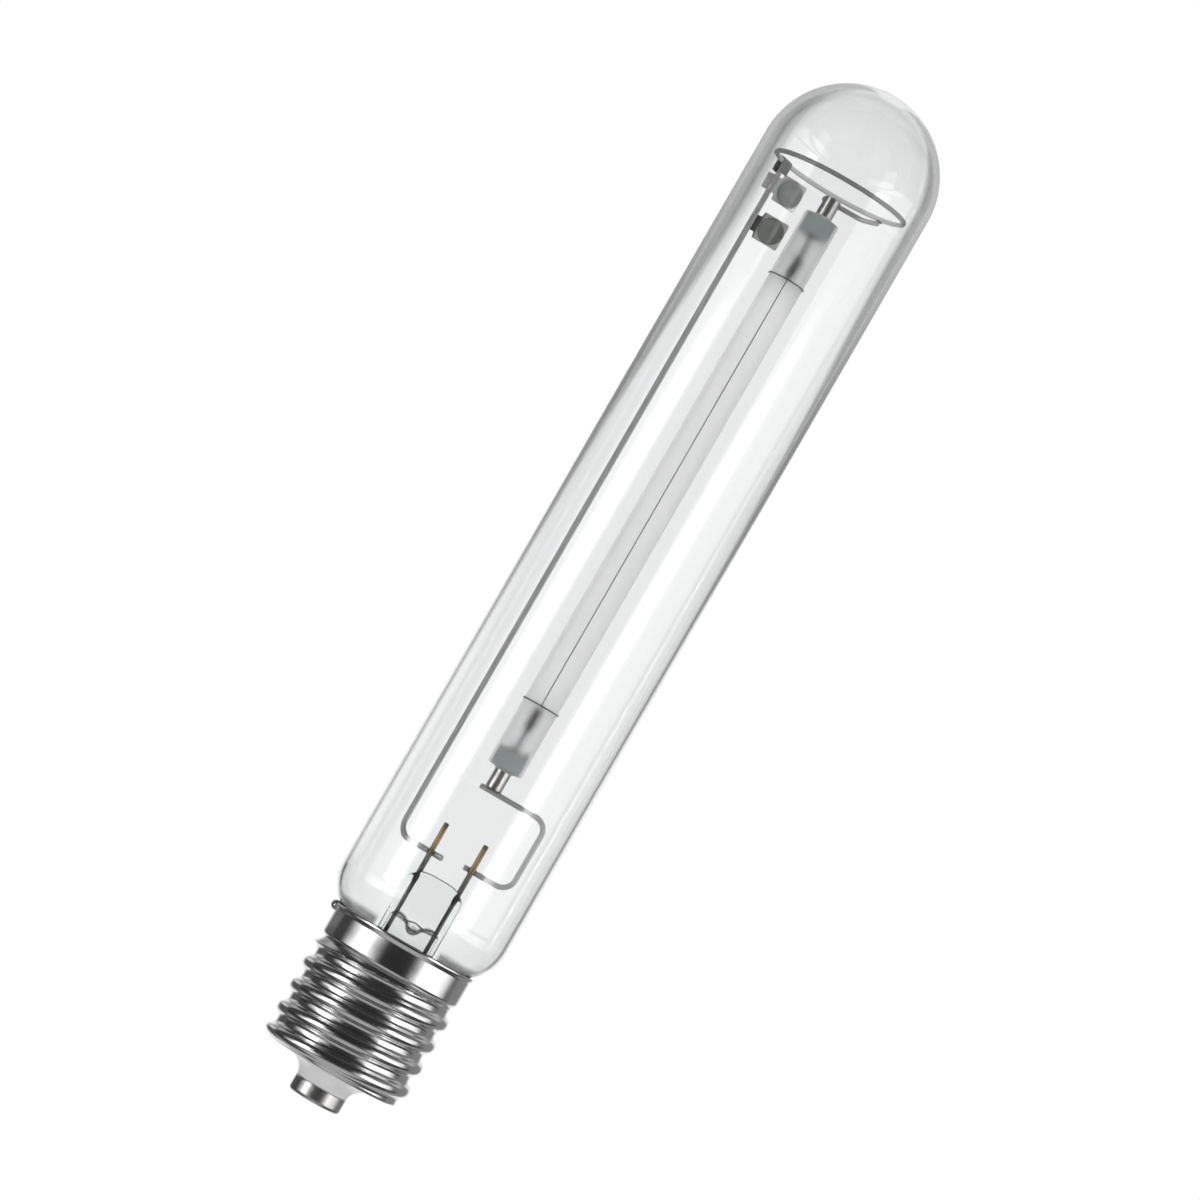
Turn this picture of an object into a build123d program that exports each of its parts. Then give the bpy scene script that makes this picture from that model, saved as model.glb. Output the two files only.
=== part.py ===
"""Tubular high pressure sodium lamp with a clear outer bulb and a 40 mm screw cap.

Millimetres. +Z runs up the lamp's axis from the cap to the dome, and the origin is the middle of the
centre contact's face. The long frame rod stands behind and to the left, at -X +Y.
"""
import os
from math import acos, asin, cos, degrees, hypot, radians, sin

from build123d import *

# Play left between pieces that are pressed, welded or cemented together
seat_gap = 0.02

# Centre contact and cap insulator
contact_diameter = 14.0
contact_height = 4.2
contact_sheet = 0.6
contact_edge_radius = 0.9
contact_hole_diameter = 3.2
insulator_rise = 4.6
insulator_ledge = 0.45
insulator_body_height = 4.0
insulator_hole_diameter = 4.0
contact_solder_depth = 0.15
contact_solder_dome = 0.5

# Screw cap shell
thread_major_diameter = 39.5
thread_depth = 1.8
thread_pitch = 6.35
thread_round_radius = 1.85
thread_first_crest = 4.7
thread_start_angle = -200.0
thread_turn_angle = 1500.0
thread_groove_floor = 0.1
thread_ridge_width = 5.46
thread_sunk = 0.3
thread_fade = 2.2
shell_wall = 0.45
shell_corner_radius = 0.8
shell_flange = 3.6
thread_length = 28.2
skirt_step = 1.05
skirt_length = 7.75
rim_lip = 0.45
rim_lip_height = 1.4
rim_edge = 0.5
side_solder_diameter = 3.2

# Outer bulb
bulb_diameter = 46.7
bulb_wall = 1.1
shoulder_radius = 12.6
waist_radius = 4.0
cement_thickness = 1.3
shoulder_rise = 10.0
neck_depth = 23.8
cement_foot = 3.0
dome_room = 26.85

# Stem: flare, tube, press and exhaust tube in one glass
lead_spacing = 11.3
stem_wall = 1.2
stem_lead_margin = 2.35
flare_rim = 1.2
press_foot_rise = 0.7
press_height = 17.0
cavity_rise = 4.7
press_thickness = 5.0
press_arch = 2.9
jaw_margin = 1.0
exhaust_diameter = 5.0
exhaust_bore = 3.2
exhaust_tip_drop = 6.0
exhaust_outlet_diameter = 3.0
outlet_margin = 0.5

# Lead wires
post_diameter = 1.4
post_rise = 12.9
post_inset = 3.5
post_tip_chamfer = 0.2
seal_wire_diameter = 1.15
outer_lead_diameter = 0.6
outer_lead_bend = 2.0

# Lower connector and frame rod
connector_diameter = 1.4
connector_rise = 5.5
connector_reach = 16.2
connector_overlap = 2.4
connector_end = 3.3
connector_bend = 3.5
rod_diameter = 1.5
rod_rise = 4.6
rod_angle = 148.0
rod_overlap = 3.0
rod_bend = 4.3

# Arc tube, its ends and electrodes
arc_clearance = 18.6
arc_tube_length = 159.3
arc_tube_diameter = 9.4
arc_tube_wall = 0.75
arc_tube_chamfer = 0.4
electrode_reach = 18.2
plug_length = 5.0
plug_crown = 0.15
frit_width = 0.8
frit_height = 0.45
feedthrough_diameter = 4.4
feedthrough_wall = 0.3
feedthrough_projection = 5.6
feedthrough_inset = 0.8
feedthrough_floor = 0.8
shank_diameter = 1.1
coil_turns = 8
coil_wire = 0.75
coil_crown = 0.3
coil_tip = 0.9
amalgam_diameter = 1.3
amalgam_flat = 0.2
starting_wire_diameter = 0.4
starting_link_diameter = 0.3

# Dome ring, its strap and the upper crossbar
ring_rise = 8.9
ring_clearance = 3.35
ring_wire_diameter = 1.25
strap_thickness = 0.3
strap_width = 4.4
strap_long_leg = 3.2
strap_short_leg = 2.8
crossbar_diameter = 1.3
crossbar_rise = 5.0
crossbar_end = 2.7
crossbar_run = 8.6
crossbar_ring_angle = 45.0
crossbar_bend = 3.0

# Getters
getter_side = 7.3
getter_sheet = 0.3
getter_stem = 2.1
getter_corner = 1.5
upper_getter_tail = 2.0
lower_getter_tail = 0.7
pellet_diameter = 6.8
pellet_height = 0.7
pellet_edge = 0.2
upper_getter_drop = 5.9
lower_getter_drop = 16.8
upper_getter_turn = 24.0
lower_getter_turn = 6.0

# Heights and radii that follow from the sizes above
contact_radius = contact_diameter / 2
crest_radius = thread_major_diameter / 2
root_radius = crest_radius - thread_depth
core_radius = root_radius + thread_groove_floor
shell_bore = core_radius - shell_wall
skirt_radius = core_radius + skirt_step
rim_radius = skirt_radius + rim_lip
flange_radius = shell_bore - shell_flange
shell_foot = contact_height + insulator_rise
skirt_foot = shell_foot + thread_length
shell_rim = skirt_foot + skirt_step + skirt_length

bulb_radius = bulb_diameter / 2
neck_radius = shell_bore - cement_thickness
shoulder_height = shell_rim + shoulder_rise
waist_sweep = acos(1 - (bulb_radius - neck_radius) / (shoulder_radius + waist_radius))
waist_height = shoulder_height - (shoulder_radius + waist_radius) * sin(waist_sweep)
neck_foot = shell_rim - neck_depth

post_x = lead_spacing / 2
post_radius = post_diameter / 2
press_foot = shell_rim + press_foot_rise
press_top = press_foot + press_height
cavity_top = press_foot + cavity_rise
stem_radius = post_x + stem_lead_margin
stem_bore = stem_radius - stem_wall
jaw_radius = stem_radius - press_thickness / 2 + jaw_margin
tube_top = press_foot - jaw_radius
post_foot = press_top - post_inset
post_top = press_top + post_rise

arc_foot = post_top + arc_clearance
arc_top = arc_foot + arc_tube_length
arc_radius = arc_tube_diameter / 2
arc_bore = arc_radius - arc_tube_wall
light_centre = (arc_foot + arc_top) / 2
electrode_gap = arc_tube_length - 2 * electrode_reach
feedthrough_radius = feedthrough_diameter / 2

ring_height = arc_top + ring_rise
ring_radius = bulb_radius - bulb_wall - ring_clearance - ring_wire_diameter / 2
dome_height = ring_height + dome_room
rod_x = ring_radius * cos(radians(rod_angle))
rod_y = ring_radius * sin(radians(rod_angle))

os.makedirs("parts", exist_ok=True)


def keep(piece, name):
    """Label a finished piece and write it out under the same name."""
    piece.part.label = name
    export_step(piece.part, f"parts/{name}.step")


def bent_wire(points, bend_radii, diameter):
    """Round wire along straight runs that are joined by tangent bends."""
    with BuildPart() as wire:
        with BuildLine() as route:
            FilletPolyline(*points, radius=bend_radii)
        with BuildSketch(Plane(route.line @ 0, z_dir=route.line % 0)):
            Circle(diameter / 2)
        sweep()
    return wire


# Centre contact: a pressed cup round the insulator's foot, with a soldering hole in its face
with BuildPart() as centre_contact:
    with BuildSketch(Plane.XZ):
        with BuildLine():
            Polyline(
                (contact_hole_diameter / 2, 0),
                (contact_radius, 0),
                (contact_radius, contact_height),
                (contact_radius - contact_sheet, contact_height),
                (contact_radius - contact_sheet, contact_sheet),
                (contact_hole_diameter / 2, contact_sheet),
                close=True,
            )
        make_face()
    revolve()
    fillet(
        centre_contact.edges().filter_by(GeomType.CIRCLE).group_by(Axis.Z)[0].sort_by(SortBy.RADIUS)[-1],
        contact_edge_radius,
    )
keep(centre_contact, "centre_contact")

# Solder drop that fills the contact's hole, a little below its face
solder_radius = contact_hole_diameter / 2 - seat_gap
solder_top = contact_sheet + contact_solder_dome
with BuildPart() as contact_solder:
    with BuildSketch(Plane.XZ):
        with BuildLine():
            Polyline(
                (0, contact_solder_depth),
                (solder_radius, contact_solder_depth),
                (solder_radius, contact_sheet),
                (solder_radius / 2, solder_top),
                (0, solder_top),
                close=True,
            )
        make_face()
    revolve()
keep(contact_solder, "contact_solder")

# Insulator: glass moulded through the shell's flange, with a concave flare down to the contact
insulator_top = shell_foot + shell_wall + insulator_body_height
insulator_body = shell_bore - shell_corner_radius
insulator_neck = flange_radius - seat_gap
flare_radius = insulator_neck - insulator_ledge
with BuildPart() as cap_insulator:
    with BuildSketch(Plane.XZ):
        with BuildLine():
            Polyline(
                (insulator_hole_diameter / 2, insulator_top),
                (insulator_hole_diameter / 2, contact_sheet + seat_gap),
                (contact_radius - contact_sheet - seat_gap, contact_sheet + seat_gap),
                (contact_radius - contact_sheet - seat_gap, contact_height + seat_gap),
                (contact_radius, contact_height + seat_gap),
            )
            EllipticalCenterArc(
                (flare_radius, contact_height + seat_gap),
                flare_radius - contact_radius,
                insulator_rise - 2 * seat_gap,
                start_angle=90,
                arc_size=90,
            )
            Polyline(
                (flare_radius, shell_foot - seat_gap),
                (insulator_neck, shell_foot - seat_gap),
                (insulator_neck, shell_foot + shell_wall + seat_gap),
                (insulator_body, shell_foot + shell_wall + seat_gap),
                (insulator_body, insulator_top),
                (insulator_hole_diameter / 2, insulator_top),
            )
        make_face()
    revolve()
keep(cap_insulator, "cap_insulator")

# Round thread of the cap: crest and groove arcs of one radius, carried up a right-hand helix
crest_centre = crest_radius - thread_round_radius
groove_centre = root_radius + thread_round_radius
flank_radius = (crest_centre + groove_centre) / 2
ridge_half = thread_ridge_width / 2
ridge_edge = groove_centre - (thread_round_radius**2 - (thread_pitch / 2 - ridge_half) ** 2) ** 0.5
ridge_base = core_radius - thread_sunk
crest_start = shell_foot + thread_first_crest + thread_pitch * thread_start_angle / 360
with BuildPart() as thread_ridge:
    with BuildLine() as helix:
        Helix(
            pitch=thread_pitch,
            height=thread_pitch * thread_turn_angle / 360,
            radius=flank_radius,
            center=(0, 0, crest_start),
        )
    with BuildSketch(Plane.XZ):
        with BuildLine():
            lower_flank = (flank_radius, crest_start - thread_pitch / 4)
            upper_flank = (flank_radius, crest_start + thread_pitch / 4)
            RadiusArc((ridge_edge, crest_start - ridge_half), lower_flank, -thread_round_radius)
            ThreePointArc(lower_flank, (crest_radius, crest_start), upper_flank)
            RadiusArc(upper_flank, (ridge_edge, crest_start + ridge_half), -thread_round_radius)
            Polyline(
                (ridge_edge, crest_start + ridge_half),
                (ridge_base, crest_start + ridge_half),
                (ridge_base, crest_start - ridge_half),
                (ridge_edge, crest_start - ridge_half),
            )
        make_face()
    sweep(path=helix.line, is_frenet=True)

# Space that the thread may fill: it fades into the rounded corner below and below the skirt above
with BuildPart() as thread_room:
    with BuildSketch(Plane.XZ):
        with BuildLine():
            fade_foot = (core_radius - thread_fade, shell_foot)
            fade_top = (crest_radius + seat_gap, shell_foot + thread_fade)
            EllipticalCenterArc(
                (fade_foot[0], fade_top[1]),
                fade_top[0] - fade_foot[0],
                thread_fade,
                start_angle=270,
                arc_size=90,
            )
            Polyline(
                fade_top,
                (crest_radius + seat_gap, skirt_foot - thread_fade),
                (core_radius - seat_gap, skirt_foot),
                (fade_foot[0], skirt_foot),
                fade_foot,
            )
        make_face()
    revolve()

# Cap shell: nickel plated brass sheet with the thread, a plain skirt and a small flared rim
with BuildPart() as cap_shell:
    with BuildSketch(Plane.XZ):
        with BuildLine():
            floor = Line((flange_radius, shell_foot), (core_radius - shell_corner_radius, shell_foot))
            corner = JernArc(floor @ 1, (1, 0), shell_corner_radius, 90)
            wall = Polyline(
                corner @ 1,
                (core_radius, skirt_foot),
                (shell_bore, skirt_foot),
                (shell_bore, shell_foot + shell_corner_radius),
            )
            inner_corner = JernArc(wall @ 1, (0, -1), shell_corner_radius - shell_wall, -90)
            Polyline(
                inner_corner @ 1, (flange_radius, shell_foot + shell_wall), (flange_radius, shell_foot)
            )
        make_face()
    revolve()
    add(thread_ridge.part.rotate(Axis.Z, thread_start_angle) & thread_room.part)
    with BuildSketch(Plane.XZ):
        with BuildLine():
            Polyline(
                (core_radius, skirt_foot),
                (skirt_radius, skirt_foot + skirt_step),
                (skirt_radius, shell_rim - rim_lip_height),
                (rim_radius, shell_rim - rim_edge),
                (rim_radius, shell_rim),
                (rim_radius - shell_wall, shell_rim),
                (skirt_radius - shell_wall, shell_rim - rim_lip_height),
                (skirt_radius - shell_wall, skirt_foot + skirt_step),
                (shell_bore, skirt_foot),
                close=True,
            )
        make_face()
    revolve()
keep(cap_shell, "cap_shell")


def bulb_outline(inset, foot):
    """Neck, waist, shoulder, tube and dome of the bulb, moved inwards by the inset."""
    with BuildSketch(Plane.XZ) as outline:
        with BuildLine():
            neck = Line((neck_radius - inset, foot), (neck_radius - inset, waist_height))
            waist = JernArc(neck @ 1, (0, 1), waist_radius + inset, -degrees(waist_sweep))
            shoulder = JernArc(waist @ 1, waist % 1, shoulder_radius - inset, degrees(waist_sweep))
            tube = Line(shoulder @ 1, (bulb_radius - inset, dome_height - bulb_radius))
            dome = JernArc(tube @ 1, (0, 1), bulb_radius - inset, 90)
            Polyline(dome @ 1, (0, foot), neck @ 0)
        make_face()
    return outline.sketch


# Outer bulb: one blown clear tube with a hemispherical dome and a neck that enters the cap
with BuildPart() as outer_bulb:
    revolve(bulb_outline(0, neck_foot))
    revolve(bulb_outline(bulb_wall, neck_foot), mode=Mode.SUBTRACT)
keep(outer_bulb, "outer_bulb")


def squeezed_tube(radius, half_thickness, bend, top):
    """Round tube end pinched flat between two rounded jaws, up to the given height."""
    with BuildPart() as squeezed:
        with BuildSketch(Plane.XY.offset(tube_top)):
            Circle(radius)
        extrude(amount=top - tube_top)
        with BuildSketch(Plane.YZ):
            with BuildLine():
                jaw = JernArc((half_thickness, press_foot), (0, -1), bend, 90)
                Polyline(
                    jaw @ 1,
                    (half_thickness + bend, top + radius),
                    (half_thickness, top + radius),
                    (half_thickness, press_foot),
                )
            make_face()
            mirror(about=Plane.YZ)
        extrude(amount=2 * radius, both=True, mode=Mode.SUBTRACT)
    return squeezed.part


def flared_tube(inset, foot):
    """Tube that opens out to the neck's width in a bell, moved inwards by the inset."""
    with BuildPart() as flared:
        with BuildSketch(Plane.XZ):
            with BuildLine():
                side = Line(
                    (stem_radius - inset, tube_top), (stem_radius - inset, flare_height + flare_bend)
                )
                bell = JernArc(side @ 1, (0, -1), flare_bend + inset, 90)
                Polyline(
                    bell @ 1,
                    (neck_radius, flare_height - inset),
                    (neck_radius, foot),
                    (0, foot),
                    (0, tube_top),
                    side @ 0,
                )
            make_face()
        revolve()
    return flared.part


# Glass stem: flare sealed to the neck, tube, flat press round the leads, and the exhaust tube
flare_height = neck_foot - seat_gap
flare_foot = flare_height - stem_wall
flare_bend = neck_radius - flare_rim - stem_radius
exhaust_tip = flare_foot - exhaust_tip_drop
with BuildPart() as stem_cavity:
    add(flared_tube(stem_wall, flare_foot - stem_wall))
    add(
        squeezed_tube(
            stem_bore, press_thickness / 2 - stem_wall, jaw_radius + stem_wall, cavity_top
        )
    )
with BuildPart() as glass_stem:
    add(flared_tube(0, flare_foot))
    add(squeezed_tube(stem_radius, press_thickness / 2, jaw_radius, press_top))
    with BuildSketch(Plane.XZ):
        with BuildLine():
            arch = ThreePointArc(
                (-stem_radius, press_top - press_arch),
                (0, press_top),
                (stem_radius, press_top - press_arch),
            )
            Polyline(
                arch @ 1,
                (stem_radius, press_top + press_arch),
                (-stem_radius, press_top + press_arch),
                arch @ 0,
            )
        make_face()
    extrude(amount=press_thickness, both=True, mode=Mode.SUBTRACT)
    add(stem_cavity.part, mode=Mode.SUBTRACT)
    with BuildSketch(Plane.XZ):
        with BuildLine():
            barrel = Polyline(
                (0, press_foot),
                (exhaust_diameter / 2, press_foot),
                (exhaust_diameter / 2, exhaust_tip + exhaust_diameter / 2),
            )
            nose = JernArc(barrel @ 1, (0, -1), exhaust_diameter / 2, -90)
            Line(nose @ 1, (0, press_foot))
        make_face()
    revolve()
    with Locations((0, 0, exhaust_tip + exhaust_diameter / 2)):
        Cylinder(
            exhaust_bore / 2,
            press_foot - exhaust_tip - exhaust_diameter / 2,
            align=(Align.CENTER, Align.CENTER, Align.MIN),
            mode=Mode.SUBTRACT,
        )
    with BuildSketch(Plane.XZ):
        with Locations((0, cavity_top - exhaust_outlet_diameter / 2 - outlet_margin)):
            Circle(exhaust_outlet_diameter / 2)
    extrude(amount=press_thickness, mode=Mode.SUBTRACT)
    for bore, bottom, top in (
        (seal_wire_diameter / 2 + seat_gap, tube_top, post_foot),
        (post_radius + seat_gap, post_foot, press_top),
    ):
        with BuildSketch(Plane.XY.offset(bottom)):
            with Locations((-post_x, 0), (post_x, 0)):
                Circle(bore)
        extrude(amount=top - bottom, mode=Mode.SUBTRACT)
keep(glass_stem, "glass_stem")

# Seal wires through the press, and the stiff posts butt welded on top of them
for side, lead_x in (("left", -post_x), ("right", post_x)):
    with BuildPart() as seal_wire:
        with BuildSketch(Plane.XY.offset(tube_top)):
            with Locations((lead_x, 0)):
                Circle(seal_wire_diameter / 2)
        extrude(amount=post_foot - tube_top)
    keep(seal_wire, f"{side}_seal_wire")
    with BuildPart() as lead_post:
        with BuildSketch(Plane.XY.offset(post_foot + seat_gap)):
            with Locations((lead_x, 0)):
                Circle(post_radius)
        extrude(amount=post_top - post_foot - seat_gap)
        chamfer(lead_post.edges().group_by(Axis.Z)[-1], post_tip_chamfer)
    keep(lead_post, f"{side}_lead_post")

# Outer leads inside the cap: one down to the centre contact, one round the neck to the rim
lead_turn = flare_foot - 2 * outer_lead_diameter
lead_foot = tube_top - seat_gap
contact_lead = bent_wire(
    [
        (post_x, 0, lead_foot),
        (post_x, 0, lead_turn),
        (0, 0, insulator_top - outer_lead_diameter),
        (0, 0, solder_top + seat_gap),
    ],
    outer_lead_bend,
    outer_lead_diameter,
)
keep(contact_lead, "contact_lead")
lead_lane = (neck_radius + shell_bore) / 2
rim_lane = skirt_radius - shell_wall - outer_lead_diameter / 2 - seat_gap
shell_lead = bent_wire(
    [
        (-post_x, 0, lead_foot),
        (-post_x, 0, lead_turn),
        (-lead_lane, 0, lead_turn - outer_lead_diameter),
        (-lead_lane, 0, skirt_foot),
        (-rim_lane, 0, skirt_foot + skirt_step + outer_lead_bend),
        (-rim_lane, 0, shell_rim - rim_edge),
    ],
    [outer_lead_bend, outer_lead_bend, outer_lead_diameter, outer_lead_diameter],
    outer_lead_diameter,
)
keep(shell_lead, "shell_lead")

# Capping cement between the glass neck and the shell, with a groove for the shell's lead
with BuildPart() as capping_cement:
    with BuildSketch(Plane.XY.offset(neck_foot + cement_foot)):
        Circle(shell_bore - seat_gap)
        Circle(neck_radius + seat_gap, mode=Mode.SUBTRACT)
        with Locations((-lead_lane, 0)):
            Rectangle(2 * cement_thickness, outer_lead_diameter + 2 * seat_gap, mode=Mode.SUBTRACT)
    extrude(amount=skirt_foot - neck_foot - cement_foot)
keep(capping_cement, "capping_cement")

# Solder drop that joins the shell's lead to the rim
with BuildPart() as side_solder:
    with Locations((-skirt_radius, 0, shell_rim - rim_edge)):
        Sphere(side_solder_diameter / 2)
    with BuildSketch(Plane.XZ):
        with BuildLine():
            Polyline(
                (0, 0),
                (skirt_radius + seat_gap, 0),
                (skirt_radius + seat_gap, shell_rim - rim_lip_height),
                (rim_radius + seat_gap, shell_rim - rim_edge),
                (rim_radius + seat_gap, shell_rim + seat_gap),
                (0, shell_rim + seat_gap),
                close=True,
            )
        make_face()
    revolve(mode=Mode.SUBTRACT)
    revolve(bulb_outline(-seat_gap, neck_foot), mode=Mode.SUBTRACT)
keep(side_solder, "side_solder")

# Frame rod: starts past the left post, passes behind it and climbs to the ring's underside
weld_height = press_top + rod_rise
post_pitch = hypot(rod_x + post_x, rod_y)
weld_offset = post_radius + rod_diameter / 2 + seat_gap
run_angle = degrees(asin(weld_offset / post_pitch))
to_post = Vector(-post_x - rod_x, -rod_y, 0).normalized()
run_along = to_post.rotate(Axis.Z, run_angle)
run_reach = (post_pitch**2 - weld_offset**2) ** 0.5 + rod_overlap
run_end = Vector(rod_x, rod_y, weld_height) + run_along * run_reach
frame_rod = bent_wire(
    [
        run_end,
        (rod_x, rod_y, weld_height),
        (rod_x, rod_y, ring_height - ring_wire_diameter / 2 - seat_gap),
    ],
    rod_bend,
    rod_diameter,
)
keep(frame_rod, "frame_rod")

# Dome ring: one turn of springy wire that steadies the frame inside the dome
with BuildPart() as dome_ring:
    with Locations((0, 0, ring_height)):
        Torus(ring_radius, ring_wire_diameter / 2)
keep(dome_ring, "dome_ring")

# Ring strap: a nickel strip folded over the ring and down both sides of the rod's end
strap_plane = Plane(
    (rod_x, rod_y, ring_height),
    x_dir=(cos(radians(rod_angle)), sin(radians(rod_angle)), 0),
    z_dir=(sin(radians(rod_angle)), -cos(radians(rod_angle)), 0),
)
strap_bend = max(rod_diameter, ring_wire_diameter) / 2 + seat_gap
with BuildPart() as ring_strap:
    with BuildSketch(strap_plane):
        with BuildLine():
            outer_leg = Line((strap_bend, -strap_long_leg), (strap_bend, 0))
            inner_fold = JernArc(outer_leg @ 1, (0, 1), strap_bend, 180)
            inner_leg = Polyline(
                inner_fold @ 1,
                (-strap_bend, -strap_short_leg),
                (-strap_bend - strap_thickness, -strap_short_leg),
                (-strap_bend - strap_thickness, 0),
            )
            outer_fold = JernArc(inner_leg @ 1, (0, 1), strap_bend + strap_thickness, -180)
            Polyline(
                outer_fold @ 1,
                (strap_bend + strap_thickness, -strap_long_leg),
                (strap_bend, -strap_long_leg),
            )
        make_face()
    extrude(amount=strap_width / 2, both=True)
keep(ring_strap, "ring_strap")

# Upper crossbar: welded across the back of the upper feedthrough, its far end under the ring
crossbar_height = arc_top + crossbar_rise
crossbar_y = feedthrough_radius + crossbar_diameter / 2 + seat_gap
crossbar_weld = (
    ring_radius * cos(radians(crossbar_ring_angle)),
    ring_radius * sin(radians(crossbar_ring_angle)),
    ring_height - (ring_wire_diameter + crossbar_diameter) / 2 - 2 * seat_gap,
)
upper_crossbar = bent_wire(
    [
        (-crossbar_end, crossbar_y, crossbar_height),
        (crossbar_run, crossbar_y, crossbar_height),
        crossbar_weld,
    ],
    crossbar_bend,
    crossbar_diameter,
)
keep(upper_crossbar, "upper_crossbar")

# Lower connector: from the right post out to the wall, up, and back under the lower feedthrough
connector_foot = press_top + connector_rise
connector_top = arc_foot - feedthrough_projection - connector_diameter / 2 - seat_gap
connector_y = post_radius + connector_diameter / 2 + seat_gap
lower_connector = bent_wire(
    [
        (post_x - connector_overlap, connector_y, connector_foot),
        (connector_reach, connector_y, connector_foot),
        (connector_reach, 0, connector_top),
        (-connector_end, 0, connector_top),
    ],
    connector_bend,
    connector_diameter,
)
keep(lower_connector, "lower_connector")

# Getters: square nickel tabs welded behind the rod, each with a pressed pellet facing the front
for level, drop, turn, tail in (
    ("upper", upper_getter_drop, upper_getter_turn, upper_getter_tail),
    ("lower", lower_getter_drop, lower_getter_turn, lower_getter_tail),
):
    tab_facing = Vector(0, -1, 0).rotate(Axis.Z, turn)
    tab_along = Vector(1, 0, 0).rotate(Axis.Z, turn)
    tab_origin = Vector(rod_x, rod_y, ring_height - drop) - tab_facing * (rod_diameter / 2 + seat_gap)
    tab_plane = Plane(tab_origin, x_dir=tab_along, z_dir=tab_facing)
    tab_centre = getter_stem + getter_side / 2
    with BuildPart() as getter_plate:
        with BuildSketch(tab_plane):
            with Locations((tab_centre, 0)):
                Rectangle(getter_side, getter_side)
            with Locations((tab_centre, 0)):
                Rectangle(
                    tab_centre + tail,
                    getter_side - 2 * getter_corner,
                    align=(Align.MAX, Align.CENTER),
                )
        extrude(amount=-getter_sheet)
    keep(getter_plate, f"{level}_getter_plate")
    with BuildPart() as getter_pellet:
        with BuildSketch(tab_plane.offset(seat_gap)):
            with Locations((tab_centre, 0)):
                Circle(pellet_diameter / 2)
        extrude(amount=pellet_height)
        chamfer(getter_pellet.faces().sort_by(Axis.Y)[0].edges(), pellet_edge)
    keep(getter_pellet, f"{level}_getter_pellet")

# Arc tube: one length of translucent alumina tube
with BuildPart() as arc_tube:
    with BuildSketch(Plane.XY.offset(arc_foot)):
        Circle(arc_radius)
        Circle(arc_bore, mode=Mode.SUBTRACT)
    extrude(amount=arc_tube_length)
    chamfer(
        arc_tube.edges().filter_by(GeomType.CIRCLE).filter_by(lambda e: e.radius > arc_bore + seat_gap),
        arc_tube_chamfer,
    )
keep(arc_tube, "arc_tube")

# Both ends of the arc tube, drawn outwards from its end face: plug, frit, feedthrough, electrode
feedthrough_foot = -plug_length - feedthrough_inset
coil_foot = coil_tip - electrode_reach
coil_radius = shank_diameter / 2 + coil_wire / 2
plug_bore = feedthrough_radius + seat_gap
plug_radius = arc_bore - seat_gap
for level, end_height, outwards in (("upper", arc_top, -1), ("lower", arc_foot, 1)):
    end_plane = Plane((0, 0, end_height), x_dir=(1, 0, 0), z_dir=(0, outwards, 0))
    with BuildPart() as end_plug:
        with BuildSketch(end_plane):
            with BuildLine():
                Polyline(
                    (plug_bore, -plug_length),
                    (plug_radius, -plug_length),
                    (plug_radius, 0),
                    (plug_bore + frit_width, plug_crown),
                    (plug_bore, plug_crown),
                    close=True,
                )
            make_face()
        revolve()
    keep(end_plug, f"{level}_end_plug")
    with BuildPart() as frit_seal:
        with BuildSketch(end_plane):
            with BuildLine():
                Polyline(
                    (plug_bore, plug_crown + seat_gap),
                    (plug_bore + frit_width, plug_crown + seat_gap),
                    (plug_bore + frit_width / 3, plug_crown + frit_height / 2),
                    (plug_bore, plug_crown + frit_height),
                    close=True,
                )
            make_face()
        revolve()
    keep(frit_seal, f"{level}_frit_seal")
    with BuildPart() as feedthrough:
        with BuildSketch(end_plane):
            with BuildLine():
                Polyline(
                    (0, feedthrough_foot),
                    (feedthrough_radius, feedthrough_foot),
                    (feedthrough_radius, feedthrough_projection),
                    (feedthrough_radius - feedthrough_wall, feedthrough_projection),
                    (feedthrough_radius - feedthrough_wall, feedthrough_foot + feedthrough_floor),
                    (0, feedthrough_foot + feedthrough_floor),
                    close=True,
                )
            make_face()
        revolve()
    keep(feedthrough, f"{level}_feedthrough")
    with BuildPart() as electrode:
        with BuildSketch(end_plane):
            with BuildLine():
                Polyline(
                    (0, -electrode_reach),
                    (shank_diameter / 2, -electrode_reach),
                    (shank_diameter / 2, coil_foot),
                    (coil_radius, coil_foot),
                )
                for turn in range(coil_turns):
                    ThreePointArc(
                        (coil_radius, coil_foot + turn * coil_wire),
                        (coil_radius + coil_crown, coil_foot + (turn + 0.5) * coil_wire),
                        (coil_radius, coil_foot + (turn + 1) * coil_wire),
                    )
                Polyline(
                    (coil_radius, coil_foot + coil_turns * coil_wire),
                    (shank_diameter / 2, coil_foot + coil_turns * coil_wire),
                    (shank_diameter / 2, feedthrough_foot - seat_gap),
                    (0, feedthrough_foot - seat_gap),
                    (0, -electrode_reach),
                )
            make_face()
        revolve()
    keep(electrode, f"{level}_electrode")

# Amalgam: a drop of sodium and mercury on the lower plug, beside the feedthrough
amalgam_x = (feedthrough_radius + arc_bore) / 2
amalgam_foot = arc_foot + plug_length + seat_gap
with BuildPart() as amalgam_dose:
    with Locations((amalgam_x, 0, amalgam_foot + amalgam_diameter / 2 - amalgam_flat)):
        Sphere(amalgam_diameter / 2)
    split(bisect_by=Plane.XY.offset(amalgam_foot), keep=Keep.TOP)
keep(amalgam_dose, "amalgam_dose")

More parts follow.
